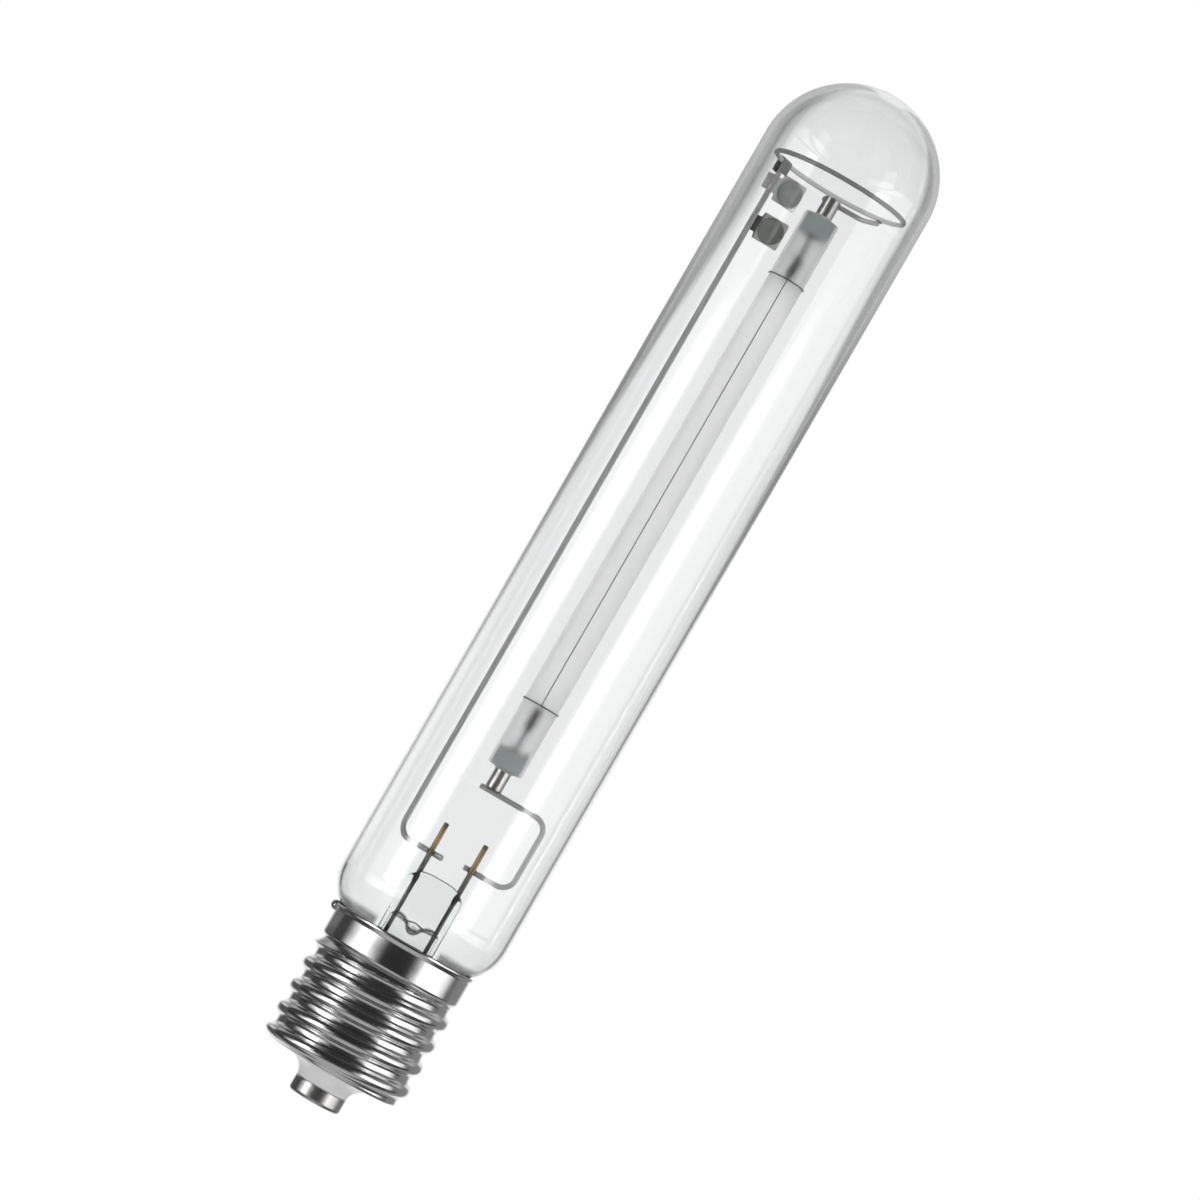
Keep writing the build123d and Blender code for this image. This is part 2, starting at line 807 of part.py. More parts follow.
# Starting aid: two turns round the arc tube at the electrode tips, joined along its front
loop_radius = arc_radius + starting_wire_diameter / 2 + seat_gap
with BuildPart() as starting_aid_wire:
    for loop_height in (light_centre - electrode_gap / 2, light_centre + electrode_gap / 2):
        with Locations((0, 0, loop_height)):
            Torus(loop_radius, starting_wire_diameter / 2)
    with BuildSketch(Plane.XY.offset(light_centre - electrode_gap / 2)):
        with Locations((0, -loop_radius)):
            Circle(starting_link_diameter / 2)
    extrude(amount=electrode_gap)
keep(starting_aid_wire, "starting_aid_wire")
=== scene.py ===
"""Looks of a tubular high pressure sodium lamp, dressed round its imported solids.

Shapes are worked out in millimetres and go into their meshes in metres. +Z runs up the lamp's axis from the
cap's contact to the dome, and the camera looks at it along +Y.
"""

import math

import bmesh
import bpy
import numpy as np
from mathutils import Matrix, Vector


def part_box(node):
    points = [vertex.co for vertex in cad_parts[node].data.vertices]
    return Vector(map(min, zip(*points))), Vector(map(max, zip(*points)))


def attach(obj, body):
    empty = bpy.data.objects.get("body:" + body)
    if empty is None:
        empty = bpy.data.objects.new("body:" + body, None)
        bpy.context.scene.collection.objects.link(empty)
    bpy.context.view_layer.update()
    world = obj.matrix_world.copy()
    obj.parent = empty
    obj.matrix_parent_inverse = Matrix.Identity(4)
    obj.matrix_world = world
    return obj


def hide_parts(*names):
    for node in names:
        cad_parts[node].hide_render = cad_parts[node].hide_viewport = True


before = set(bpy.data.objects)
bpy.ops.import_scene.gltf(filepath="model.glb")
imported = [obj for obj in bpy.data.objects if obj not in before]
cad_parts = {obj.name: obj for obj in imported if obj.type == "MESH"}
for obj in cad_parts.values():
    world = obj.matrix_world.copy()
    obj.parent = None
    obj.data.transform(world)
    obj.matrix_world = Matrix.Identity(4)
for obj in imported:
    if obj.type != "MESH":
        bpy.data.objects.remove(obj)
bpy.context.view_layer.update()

# Glass stem: flare, tube and flat press of one pale green lead glass, with the exhaust tube inside it.
# The tube's softened end is pinched between jaws round the leads; the flare is melted to the bulb's neck.
MM = 0.001


def span(node):
    """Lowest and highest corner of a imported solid, in millimetres."""
    low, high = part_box(node)
    return np.array(low) / MM, np.array(high) / MM


class Tone:
    """A socket in a material's node tree. Arithmetic on tones adds Math nodes to that tree."""

    def __init__(self, tree, socket=None):
        self.tree = tree
        self.socket = socket

    def node(self, kind, settings=None, inputs=None, output=0):
        """Adds a node: its settings first, a ramp's stops among them, then its sockets' values or links."""
        made = self.tree.nodes.new(kind)
        for name, value in (settings or {}).items():
            if name == "stops":
                while len(made.color_ramp.elements) < len(value):
                    made.color_ramp.elements.new(0.5)
                for stop, (place, colour) in zip(made.color_ramp.elements, value):
                    stop.position = place
                    stop.color = (*colour, 1.0)
            else:
                setattr(made, name, value)
        for name, value in (inputs or {}).items():
            if isinstance(value, Tone):
                self.tree.links.new(value.socket, made.inputs[name])
            else:
                made.inputs[name].default_value = value
        return Tone(self.tree, made.outputs[output] if made.outputs else None)

    def maths(self, operation, first, second=0.0):
        return self.node("ShaderNodeMath", {"operation": operation}, {0: first, 1: second})

    def __add__(self, other):
        return self.maths("ADD", self, other)

    def __sub__(self, other):
        return self.maths("SUBTRACT", self, other)

    def __rsub__(self, other):
        return self.maths("SUBTRACT", other, self)

    def __mul__(self, other):
        return self.maths("MULTIPLY", self, other)

    def __truediv__(self, other):
        return self.maths("DIVIDE", self, other)

    def __pow__(self, other):
        return self.maths("POWER", self, other)

    __radd__ = __add__
    __rmul__ = __mul__


def open_finish(name):
    """New material with an empty tree, and the bare tone that its nodes are added from."""
    material = bpy.data.materials.new(name)
    material.use_nodes = True
    material.node_tree.nodes.clear()
    return material, Tone(material.node_tree)


def close_finish(material, ground, sockets):
    """Ends a finish with one Principled shader that has these sockets set or linked."""
    shader = ground.node("ShaderNodeBsdfPrincipled", None, sockets)
    ground.node("ShaderNodeOutputMaterial", None, {"Surface": shader})
    return material


def where(ground, axis):
    """One Object coordinate of the piece, 0 to 2 for X to Z, in millimetres."""
    place = ground.node("ShaderNodeTexCoord", output="Object")
    return ground.node("ShaderNodeSeparateXYZ", None, {0: place}, axis) / MM


def grain(ground, cells, detail=2.0):
    """Noise from 0 to 1 over the piece's Object coordinates, with so many cells to the metre, one number for
    all the axes or one for each."""
    stretch = cells if isinstance(cells, tuple) else (cells,) * 3
    place = ground.node("ShaderNodeTexCoord", output="Object")
    scaled = ground.node("ShaderNodeVectorMath", {"operation": "MULTIPLY"}, {0: place, 1: stretch})
    return ground.node("ShaderNodeTexNoise", None, {"Vector": scaled, "Scale": 1.0, "Detail": detail})


def blend(ground, share, first, second):
    """Colour that goes from the first to the second, each fixed or a tone, as the share goes from 0 to 1."""
    first, second = (end if isinstance(end, Tone) else (*end, 1.0) for end in (first, second))
    return ground.node("ShaderNodeMix", {"data_type": "RGBA"}, {0: share, 6: first, 7: second}, 2)


def relief(ground, height, depth):
    """Normal of a surface whose height tone, from 0 to 1, stands for so many metres."""
    return ground.node("ShaderNodeBump", None, {"Height": height, "Strength": 1.0, "Distance": depth})


def drawn_glass(name, shade, ripple):
    """Clear glass with faint lengthwise draw lines: noise stretched along Z feeds the relief and the gloss.
    The shade gives its colour from the material's tree."""
    material, ground = open_finish(name)
    lines = grain(ground, (260.0, 260.0, 9.0), 1.0)
    haze = grain(ground, (60.0, 60.0, 35.0), 3.0)
    return close_finish(material, ground, {
        "Base Color": shade(ground),
        "Roughness": haze**6 * 0.02,
        "IOR": 1.47,
        "Transmission Weight": 1.0,
        "Normal": relief(ground, lines, ripple),
    })


def lay_surface(name, finish, *grids, crease=40.0):
    """Mesh piece from grids of points in millimetres. Neighbours along a grid's two parameters become quads,
    doubles are merged so that seams and poles close, and the faces are turned outwards. The map called Wrap
    holds the mean lengths along both parameters in metres."""
    corners, quads, flats, count = [], [], [], 0
    for grid in grids:
        rows, columns = grid.shape[:2]
        index = np.arange(rows * columns).reshape(rows, columns) + count
        quad = np.stack([index[:-1, :-1], index[:-1, 1:], index[1:, 1:], index[1:, :-1]], -1)
        steps_across = np.linalg.norm(np.diff(grid, axis=1), axis=2).mean(0) * MM
        steps_along = np.linalg.norm(np.diff(grid, axis=0), axis=2).mean(1) * MM
        flat = np.meshgrid(np.append(0, np.cumsum(steps_across)), np.append(0, np.cumsum(steps_along)))
        corners.append(grid.reshape(-1, 3))
        quads.append(quad.reshape(-1, 4))
        flats.append(np.stack(flat, -1).reshape(-1, 2))
        count += rows * columns
    quads = np.concatenate(quads)
    mesh = bpy.data.meshes.new(name)
    mesh.from_pydata((np.concatenate(corners) * MM).tolist(), [], quads.tolist())
    layer = mesh.uv_layers.new(name="Wrap")
    layer.data.foreach_set("uv", np.concatenate(flats)[quads.ravel()].astype(np.float32).ravel())
    shape = bmesh.new()
    shape.from_mesh(mesh)
    bmesh.ops.remove_doubles(shape, verts=shape.verts, dist=1e-7)
    bmesh.ops.recalc_face_normals(shape, faces=shape.faces)
    shape.to_mesh(mesh)
    shape.free()
    mesh.shade_smooth()
    mesh.set_sharp_from_angle(angle=math.radians(crease))
    mesh.materials.append(finish)
    piece = bpy.data.objects.new(name, mesh)
    bpy.context.scene.collection.objects.link(piece)
    return piece


def fit(piece, slot, *nodes):
    """The piece rides on the lamp's one body, and may stand for solids, which are hidden. The slot is not
    used.
    """
    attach(piece, "root")
    if nodes:
        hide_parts(*nodes)


def turned(profile, steps=96):
    """Points (radius, height) of a profile carried once round the axis: (r cos a, r sin a, z)."""
    angle = np.linspace(0, 2 * np.pi, steps + 1)[:, None]
    radius, height = np.asarray(profile, float).T
    return np.stack([radius * np.cos(angle), radius * np.sin(angle), height + 0 * angle], -1)


def arc(centre, radius, start, end, steps=12):
    """Points on a circle in the (radius, height) plane, from one angle to another in degrees."""
    angle = np.radians(np.linspace(start, end, steps))
    return np.stack([centre[0] + radius * np.cos(angle), centre[1] + radius * np.sin(angle)], -1)


stem_low, stem_high = span("glass_stem")
press_top = stem_high[2]
press_height = 17.0
press_foot = press_top - press_height
press_half = 2.5
press_arch = 2.9
press_edge = 1.5
crown_draw = 0.06
cavity_rise = 4.7
cavity_top = press_foot + cavity_rise
cavity_edge = 1.0
stem_radius = 8.0
stem_wall = 1.2
jaw_radius = 6.5
jaw_squareness = 10
flare_height = 7.2
flare_top = stem_low[2] + flare_height
flare_bend = 7.1


def pinched_tube(radius, half, jaw, bend, top, arch, edge):
    """Grid of the stem's skin, with rows up from the flare to the press's top and columns round the axis.

    A quarter circle of the flare's bend leads into a round tube. Jaws leave a gap that narrows along a
    circle, gap(z) = half + jaw - sqrt(jaw^2 - (press foot - z)^2), and the circle's y is drawn smoothly under
    it, y = c / (1 + |c / gap|^p)^(1/p). The top closes in Y over the edge's round, along
    z = top - arch (x / radius)^4.
    """
    angle = np.linspace(0, 2 * np.pi, 129)
    bell = arc((radius + bend, flare_top + flare_bend), bend, 270, 180, 20)
    shaft = np.linspace(bell[-1, 1], press_foot - jaw_radius, 8)[1:]
    squeeze = np.linspace(shaft[-1], press_foot, 40)[1:]
    radii = np.concatenate([bell[:, 0], np.full(len(shaft) + len(squeeze), radius)])
    heights = np.concatenate([bell[:, 1], shaft, squeeze])
    gap = half + jaw - np.sqrt(np.maximum(jaw**2 - np.maximum(press_foot - heights, 0) ** 2, 0))
    gap = np.where(press_foot - heights > jaw_radius, 4 * radius, gap)
    chord = radii[:, None] * np.sin(angle)
    x = radii[:, None] * np.cos(angle)
    y = chord / (1 + np.abs(chord / gap[:, None]) ** jaw_squareness) ** (1 / jaw_squareness)
    z = heights[:, None] + 0 * x
    crown = top - arch * (x[-1] / radius) ** 4
    up = np.linspace(0, 1, 24)[1:, None]
    over = np.radians(np.linspace(0, 90, 12))[1:, None]
    x = np.concatenate([x, x[-1] + 0 * up, x[-1] * (1 - crown_draw * (1 - np.cos(over)))])
    y = np.concatenate([y, y[-1] + 0 * up, y[-1] * np.cos(over)])
    z = np.concatenate([z, press_foot + up * (crown - edge - press_foot), crown - edge + edge * np.sin(over)])
    return np.stack([x, y, z], -1)


outlet_drop = 1.2
outlet_height = cavity_top - outlet_drop
outlet_size = 1.5
outlet_swell = 1.1
stem_skin = pinched_tube(stem_radius, press_half, jaw_radius, flare_bend, press_top, press_arch, press_edge)
swell = np.exp(-(stem_skin[..., 0] ** 2 + (stem_skin[..., 2] - outlet_height) ** 2) / outlet_size**2)
stem_skin[..., 1] -= np.where(stem_skin[..., 1] < 0, outlet_swell * swell, 0)
stem_cavity = pinched_tube(
    stem_radius - stem_wall,
    press_half - stem_wall,
    jaw_radius + stem_wall,
    flare_bend + stem_wall,
    cavity_top,
    0.0,
    cavity_edge,
)
flare_rim = turned([(stem_high[0], flare_top), (stem_high[0], flare_top - stem_wall)], 128).swapaxes(0, 1)
exhaust_radius = 2.5
exhaust_bore = 1.6
exhaust_drop = 2.4
exhaust_top = press_foot - exhaust_drop
exhaust_centre = (0, stem_low[2] + exhaust_radius)
exhaust_outside = np.concatenate([
    [(exhaust_bore, exhaust_top), (exhaust_radius, exhaust_top)],
    arc(exhaust_centre, exhaust_radius, 0, -90),
])
exhaust_inside = np.concatenate([arc(exhaust_centre, exhaust_bore, -90, 0), [(exhaust_bore, exhaust_top)]])
stem_tint = (0.965, 0.985, 0.975)
# Near black colour of the painted shade along the cavity's roof.
roof_line_shade_colour = (0.012, 0.018, 0.014)
line_lift = 0.4
line_height = cavity_top + line_lift
line_dip = 2.1
line_dip_half = 2.4
line_half = 0.42
line_wander = 0.5
line_reach = 6.0


def painted_roof_line(ground):
    """Pale glass with a near black line of painted shade along the roof of the tube's cavity, where it was
    fused:
    exp(-((z - line) / half)^2), with the line at line height - dip exp(-(x / dip half)^2) between the leads,
    and broken up by noise."""
    x = where(ground, 0)
    fall = ground.maths("EXPONENT", x * x * (-1 / line_dip_half**2))
    ragged = grain(ground, 700.0)
    off = where(ground, 2) - line_height + fall * line_dip + (ragged - 0.5) * line_wander
    band = ground.maths("EXPONENT", off * off * (-1 / line_half**2))
    inside = ground.maths("LESS_THAN", x * x, line_reach**2)
    return blend(ground, band * inside, stem_tint, roof_line_shade_colour)


glass_stem = lay_surface(
    "glass_stem_press",
    drawn_glass("stem_glass", painted_roof_line, 0.00004),
    np.concatenate([stem_skin[::-1], flare_rim, stem_cavity]),
    turned(exhaust_outside, 48),
    turned(exhaust_inside, 48),
)
fit(glass_stem, "stem_glass", "glass_stem")

# Seal wires and lead posts: thin dull wires melted into the press, with stiff nickel posts welded on top.
# The heat of sealing leaves the posts brown like copper above the welds and dark grey below them.


def drawn_wire(path, radius, across=(0.0, 1.0, 0.0), nip=0.25, sides=28):
    """Grid of a round wire: circles square to the path, whose radius falls to zero over the nip at both ends,
    r sqrt(1 - (1 - d / nip)^2) at the distance d from an end. Across is a way that the path never takes."""
    path = np.asarray(path, float)
    length = np.concatenate([[0], np.cumsum(np.linalg.norm(np.diff(path, axis=0), axis=1))])
    ease = nip * (1 - np.cos(np.linspace(0, np.pi / 2, 6)))
    inner = length[(length > 1.01 * nip) & (length < length[-1] - 1.01 * nip)]
    along = np.concatenate([ease, inner, length[-1] - ease[::-1]])
    spine = np.stack([np.interp(along, length, path[:, k]) for k in range(3)], -1)
    tangent = np.gradient(spine, along, axis=0)
    tangent /= np.linalg.norm(tangent, axis=1, keepdims=True)
    side = np.cross(tangent, across)
    side /= np.linalg.norm(side, axis=1, keepdims=True)
    upright = np.cross(side, tangent)
    end_gap = np.minimum(along, along[-1] - along)
    thick = radius * np.sqrt(1 - (1 - np.clip(end_gap / nip, 0, 1)) ** 2)
    angle = np.linspace(0, 2 * np.pi, sides + 1)[None, :, None]
    circle = np.cos(angle) * side[:, None] + np.sin(angle) * upright[:, None]
    return spine[:, None] + thick[:, None, None] * circle


def run(start, end, pitch=1.5):
    """Evenly spaced points on a straight line."""
    start, end = np.asarray(start, float), np.asarray(end, float)
    return np.linspace(start, end, max(2, int(np.linalg.norm(end - start) / pitch)))


def wire_metal(name, pale, dark, roughness, streak=(900.0, 900.0, 160.0), bare=1.0):
    """Drawn wire: grey metal whose colour and gloss vary along fine streaks, with a faint die-drawn relief.
    Bare is the share of its face that is clean metal and not dull oxide."""
    material, ground = open_finish(name)
    streaks = grain(ground, streak, 3.0)
    patches = grain(ground, (110.0, 110.0, 60.0))
    return close_finish(material, ground, {
        "Base Color": blend(ground, streaks * 0.5 + patches * 0.5, dark, pale),
        "Metallic": bare,
        "Roughness": roughness + patches * 0.12,
        "Normal": relief(ground, streaks, 0.000012),
    })


def post_metal():
    """Nickel post: brown heat colours above the weld's height, dull grey below it and a dark tip."""
    material, ground = open_finish("lead_post_metal")
    low, high = span("left_lead_post")
    patches = grain(ground, (420.0, 420.0, 300.0), 3.0)
    share = (where(ground, 2) - low[2]) / (high[2] - low[2]) + (patches - 0.5) * 0.08
    stops = [
        (0.0, (0.20, 0.20, 0.19)),
        (0.5, (0.26, 0.25, 0.235)),
        (0.58, (0.46, 0.34, 0.20)),
        (0.72, (0.62, 0.44, 0.26)),
        (0.9, (0.50, 0.37, 0.24)),
        (1.0, (0.26, 0.23, 0.20)),
    ]
    return close_finish(material, ground, {
        "Base Color": ground.node("ShaderNodeValToRGB", {"stops": stops}, {0: share}),
        "Metallic": 1.0,
        "Roughness": 0.42 + patches * 0.16,
        "Normal": relief(ground, patches, 0.00002),
    })


seal_metal = wire_metal("seal_wire_metal", (0.27, 0.27, 0.26), (0.13, 0.13, 0.125), 0.42)
lead_metal = post_metal()
for side in ("left", "right"):
    post_low, post_high = span(f"{side}_lead_post")
    lead_x = (post_low[0] + post_high[0]) / 2
    for kind, metal, slot in (
        ("seal_wire", seal_metal, "seal_metal"),
        ("lead_post", lead_metal, "post_wire"),
    ):
        low, high = span(f"{side}_{kind}")
        upright = run((lead_x, 0, low[2]), (lead_x, 0, high[2]))
        wire = lay_surface(f"{side}_{kind}_drawn", metal, drawn_wire(upright, (high[0] - low[0]) / 2))
        fit(wire, slot, f"{side}_{kind}")

# Outer leads: thin wires inside the cap, from the press to the contact and to the shell's rim.
# They are plain tinned wire, out of sight behind the shell.


def paint(finish, *nodes):
    """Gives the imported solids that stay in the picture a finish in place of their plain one."""
    for node in nodes:
        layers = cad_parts[node].data.materials
        layers.clear()
        layers.append(finish)


outer_lead_metal = wire_metal("outer_lead_metal", (0.62, 0.61, 0.59), (0.45, 0.44, 0.42), 0.3)
paint(outer_lead_metal, "contact_lead", "shell_lead")

# Frame rod, lower connector and upper crossbar: straightened nickel plated wires, bent to shape.
# Each is spot welded where it crosses a post, the ring or a feedthrough.


def bent(corners, bends, steps=24):
    """Straight runs joined by tangent arcs, one bend radius for all or one for each corner. At a corner with
    the way in d, the way out and the turn f between them, the arc starts bend tan(f / 2) before it and runs
    start + bend (sin t d + (1 - cos t) n), where n is square to d towards the way out."""
    corners = np.asarray(corners, float)
    points, last = [], corners[0]
    bends = np.broadcast_to(bends, len(corners) - 2)
    for before, corner, after, bend in zip(corners, corners[1:], corners[2:], bends):
        way_in = (corner - before) / np.linalg.norm(corner - before)
        way_out = (after - corner) / np.linalg.norm(after - corner)
        turn = math.acos(way_in @ way_out)
        normal = way_out - (way_out @ way_in) * way_in
        normal /= np.linalg.norm(normal)
        start = corner - way_in * bend * math.tan(turn / 2)
        swing = np.linspace(0, turn, steps)[:, None]
        curve = start + bend * (np.sin(swing) * way_in + (1 - np.cos(swing)) * normal)
        points += [run(last, start)[:-1], curve[:-1]]
        last = curve[-1]
    return np.concatenate(points + [run(last, corners[-1])])


frame_metal = wire_metal("frame_wire_metal", (0.80, 0.795, 0.785), (0.60, 0.595, 0.585), 0.45, bare=0.6)
rod_low, rod_high = span("frame_rod")
rod_radius = 0.75
rod_bend = 4.3
rod_place = np.array([rod_low[0] + rod_radius, rod_high[1] - rod_radius])
rod_corner = np.array([rod_high[0], rod_low[1]])
run_height = rod_low[2] + rod_radius
run_way = (rod_corner - rod_place) / np.linalg.norm(rod_corner - rod_place)
run_end = rod_corner + rod_radius * run_way[::-1]
rod_path = bent([(*run_end, run_height), (*rod_place, run_height), (*rod_place, rod_high[2])], rod_bend)
rod_grid = drawn_wire(rod_path, rod_radius, (-run_way[1], run_way[0], 0.0))
fit(lay_surface("frame_rod_drawn", frame_metal, rod_grid), "frame_wire", "frame_rod")

right_low, right_high = span("right_lead_post")
connector_low, connector_high = span("lower_connector")
connector_radius = 0.7
connector_bend = 3.5
connector_stub = 1.7
connector_foot = connector_low[2] + connector_radius
connector_top = connector_high[2] - connector_radius
connector_x = connector_high[0] - connector_radius
connector_back = connector_high[1] - connector_radius
connector_path = bent(
    [
        (right_low[0] - connector_stub, connector_back, connector_foot),
        (connector_x, connector_back, connector_foot),
        (connector_x, 0, connector_top),
        (connector_low[0], 0, connector_top),
    ],
    connector_bend,
)
connector_grid = drawn_wire(connector_path, connector_radius)
fit(lay_surface("lower_connector_drawn", frame_metal, connector_grid), "frame_wire", "lower_connector")

crossbar_low = span("upper_crossbar")[0]
ring_low, ring_high = span("dome_ring")
ring_thick = (ring_high[2] - ring_low[2]) / 2
ring_radius = ring_high[0] - ring_thick
ring_height = (ring_low[2] + ring_high[2]) / 2
crossbar_radius = 0.65
crossbar_bend = 3.0
crossbar_run = 8.6
crossbar_height = crossbar_low[2] + crossbar_radius
crossbar_back = crossbar_low[1] + crossbar_radius
crossbar_end = ring_radius * math.sqrt(0.5)
crossbar_path = bent(
    [
        (crossbar_low[0], crossbar_back, crossbar_height),
        (crossbar_run, crossbar_back, crossbar_height),
        (crossbar_end, crossbar_end, ring_low[2] - crossbar_radius),
    ],
    crossbar_bend,
)
crossbar_grid = drawn_wire(crossbar_path, crossbar_radius, (0.0, 0.0, 1.0))
fit(lay_surface("upper_crossbar_drawn", frame_metal, crossbar_grid), "frame_wire", "upper_crossbar")

# Weld nuggets: small squeezed beads of melted wire at each crossing of the mount.
# They are darker than the wires, from the heat of spot welding.


def bead(centre, size, turn=0.0):
    """Grid of a lumpy ellipsoid about its centre: a unit ball whose radius varies by a few percent in slow
    waves, stretched by the size on each axis and turned about Z by the angle."""
    u, v = np.meshgrid(np.linspace(0, 2 * np.pi, 33), np.linspace(0, np.pi, 17))
    lumpy = 1 + 0.06 * np.sin(3 * u) * np.sin(v) ** 2 + 0.05 * np.cos(2 * u) * np.sin(2 * v) * np.sin(v)
    ball = np.stack([np.sin(v) * np.cos(u), np.sin(v) * np.sin(u), np.cos(v)], -1) * lumpy[..., None]
    ball = ball * np.asarray(size, float)
    c, s = math.cos(turn), math.sin(turn)
    return ball @ np.array([[c, s, 0], [-s, c, 0], [0, 0, 1]]) + np.asarray(centre, float)


weld_metal = wire_metal("weld_metal", (0.30, 0.27, 0.22), (0.12, 0.11, 0.09), 0.3, (500.0, 500.0, 500.0))
left_low, left_high = span("left_lead_post")
left_x = (left_low[0] + left_high[0]) / 2
right_x = (right_low[0] + right_high[0]) / 2
run_turn = math.atan2(run_way[1], run_way[0])
feed_radius = span("upper_feedthrough")[1][0]
welds = {
    "left_seal_weld": bead((left_x, 0, left_low[2]), (0.72, 0.72, 0.5)),
    "right_seal_weld": bead((right_x, 0, right_low[2]), (0.72, 0.72, 0.5)),
    "left_post_weld": bead((left_x, 0.72, run_height), (1.25, 0.55, 1.0), run_turn),
    "right_post_weld": bead((right_x, 0.7, connector_foot), (1.2, 0.55, 1.0)),
    "lower_feed_weld": bead((0, 0, connector_top + connector_radius), (1.9, 0.7, 0.35)),
    "upper_feed_weld": bead((0, feed_radius, crossbar_height), (1.1, 0.45, 1.0)),
    "ring_end_weld": bead((crossbar_end, crossbar_end, ring_low[2]), (1.2, 0.6, 0.45), -math.pi / 4),
}
for name, grid in welds.items():
    fit(lay_surface(name, weld_metal, grid), "frame_wire")

# Dome ring: one turn of springy nickel plated wire that steadies the mount inside the dome.
# The ring strap is a nickel strip folded over it and the rod's end, and squeezed flat.


def held(ground, value):
    """The tone held between 0 and 1."""
    return ground.node("ShaderNodeClamp", None, {0: value})


def ring_painted_light_metal():
    """Nickel plated wire with painted light: shaded dark grey along its front and lit pale along its back."""
    material, ground = open_finish("ring_painted_light_metal")
    streaks = grain(ground, 700.0, 3.0)
    # Painted light: the share runs from the shaded dark front to the lit pale back.
    pale = held(ground, where(ground, 1) / ring_radius * 2.0 + 0.2 + (streaks - 0.5) * 0.4)
    return close_finish(material, ground, {
        "Base Color": blend(ground, pale, (0.44, 0.435, 0.42), (0.88, 0.875, 0.86)),
        "Metallic": 0.4 - pale * 0.35,
        "Roughness": 0.42 + streaks * 0.1,
        "Normal": relief(ground, streaks, 0.000012),
    })


ring_grid = turned(arc((ring_radius, ring_height), ring_thick, 0, 360, 25), 256)
fit(lay_surface("dome_ring_drawn", ring_painted_light_metal(), ring_grid), "frame_wire", "dome_ring")
strip_metal = wire_metal("nickel_strip_metal", (0.60, 0.60, 0.585), (0.34, 0.34, 0.33), 0.42, bare=0.8)
paint(strip_metal, "ring_strap")

# Getters: square nickel trays welded behind the rod by a narrow tail, with a pressed metal powder tablet.
# Each tray has a raised lip round its tablet and corners that were bent a little by the press.


def getter_powder(name, dark, pale):
    """Pressed metal powder: olive grey grains with small pits, fully matt."""
    material, ground = open_finish(name)
    grains = grain(ground, 5200.0, 4.0)
    clouds = grain(ground, 420.0, 3.0)
    return close_finish(material, ground, {
        "Base Color": blend(ground, grains * 0.55 + clouds * 0.45, dark, pale),
        "Metallic": 0.1,
        "Roughness": 0.55 + grains * 0.3,
        "Normal": relief(ground, grains, 0.00006),
    })


def tray_sheet_metal(name, tail_x, tail_burn_and_glint):
    """Rolled nickel sheet: pale and dull, with fine scratches. At the tail it goes to the given tone: dark
    weld burn on the lower tray, and a near white painted highlight on the upper.
    """
    material, ground = open_finish(name)
    scratches = grain(ground, (200.0, 200.0, 2400.0), 3.0)
    clean = held(ground, (where(ground, 0) - tail_x) / 0.6 + (scratches - 0.5) * 0.5)
    return close_finish(material, ground, {
        "Base Color": blend(ground, clean, (tail_burn_and_glint,) * 3, (0.80, 0.80, 0.78)),
        "Metallic": 0.3 + scratches * 0.3,
        "Roughness": 0.3 + scratches * 0.2,
        "Normal": relief(ground, scratches, 0.00001),
    })


def stand_up(middle, turn, along, upward, outward):
    """Points at three lengths from a middle: along a level way turned from X by the angle, up Z, and out to
    the front of the face that these two make."""
    way = np.array([math.cos(turn), math.sin(turn), 0])
    front = np.array([math.sin(turn), -math.cos(turn), 0])
    up = np.array([0.0, 0.0, 1.0])
    return middle + along[..., None] * way + upward[..., None] * up + outward[..., None] * front


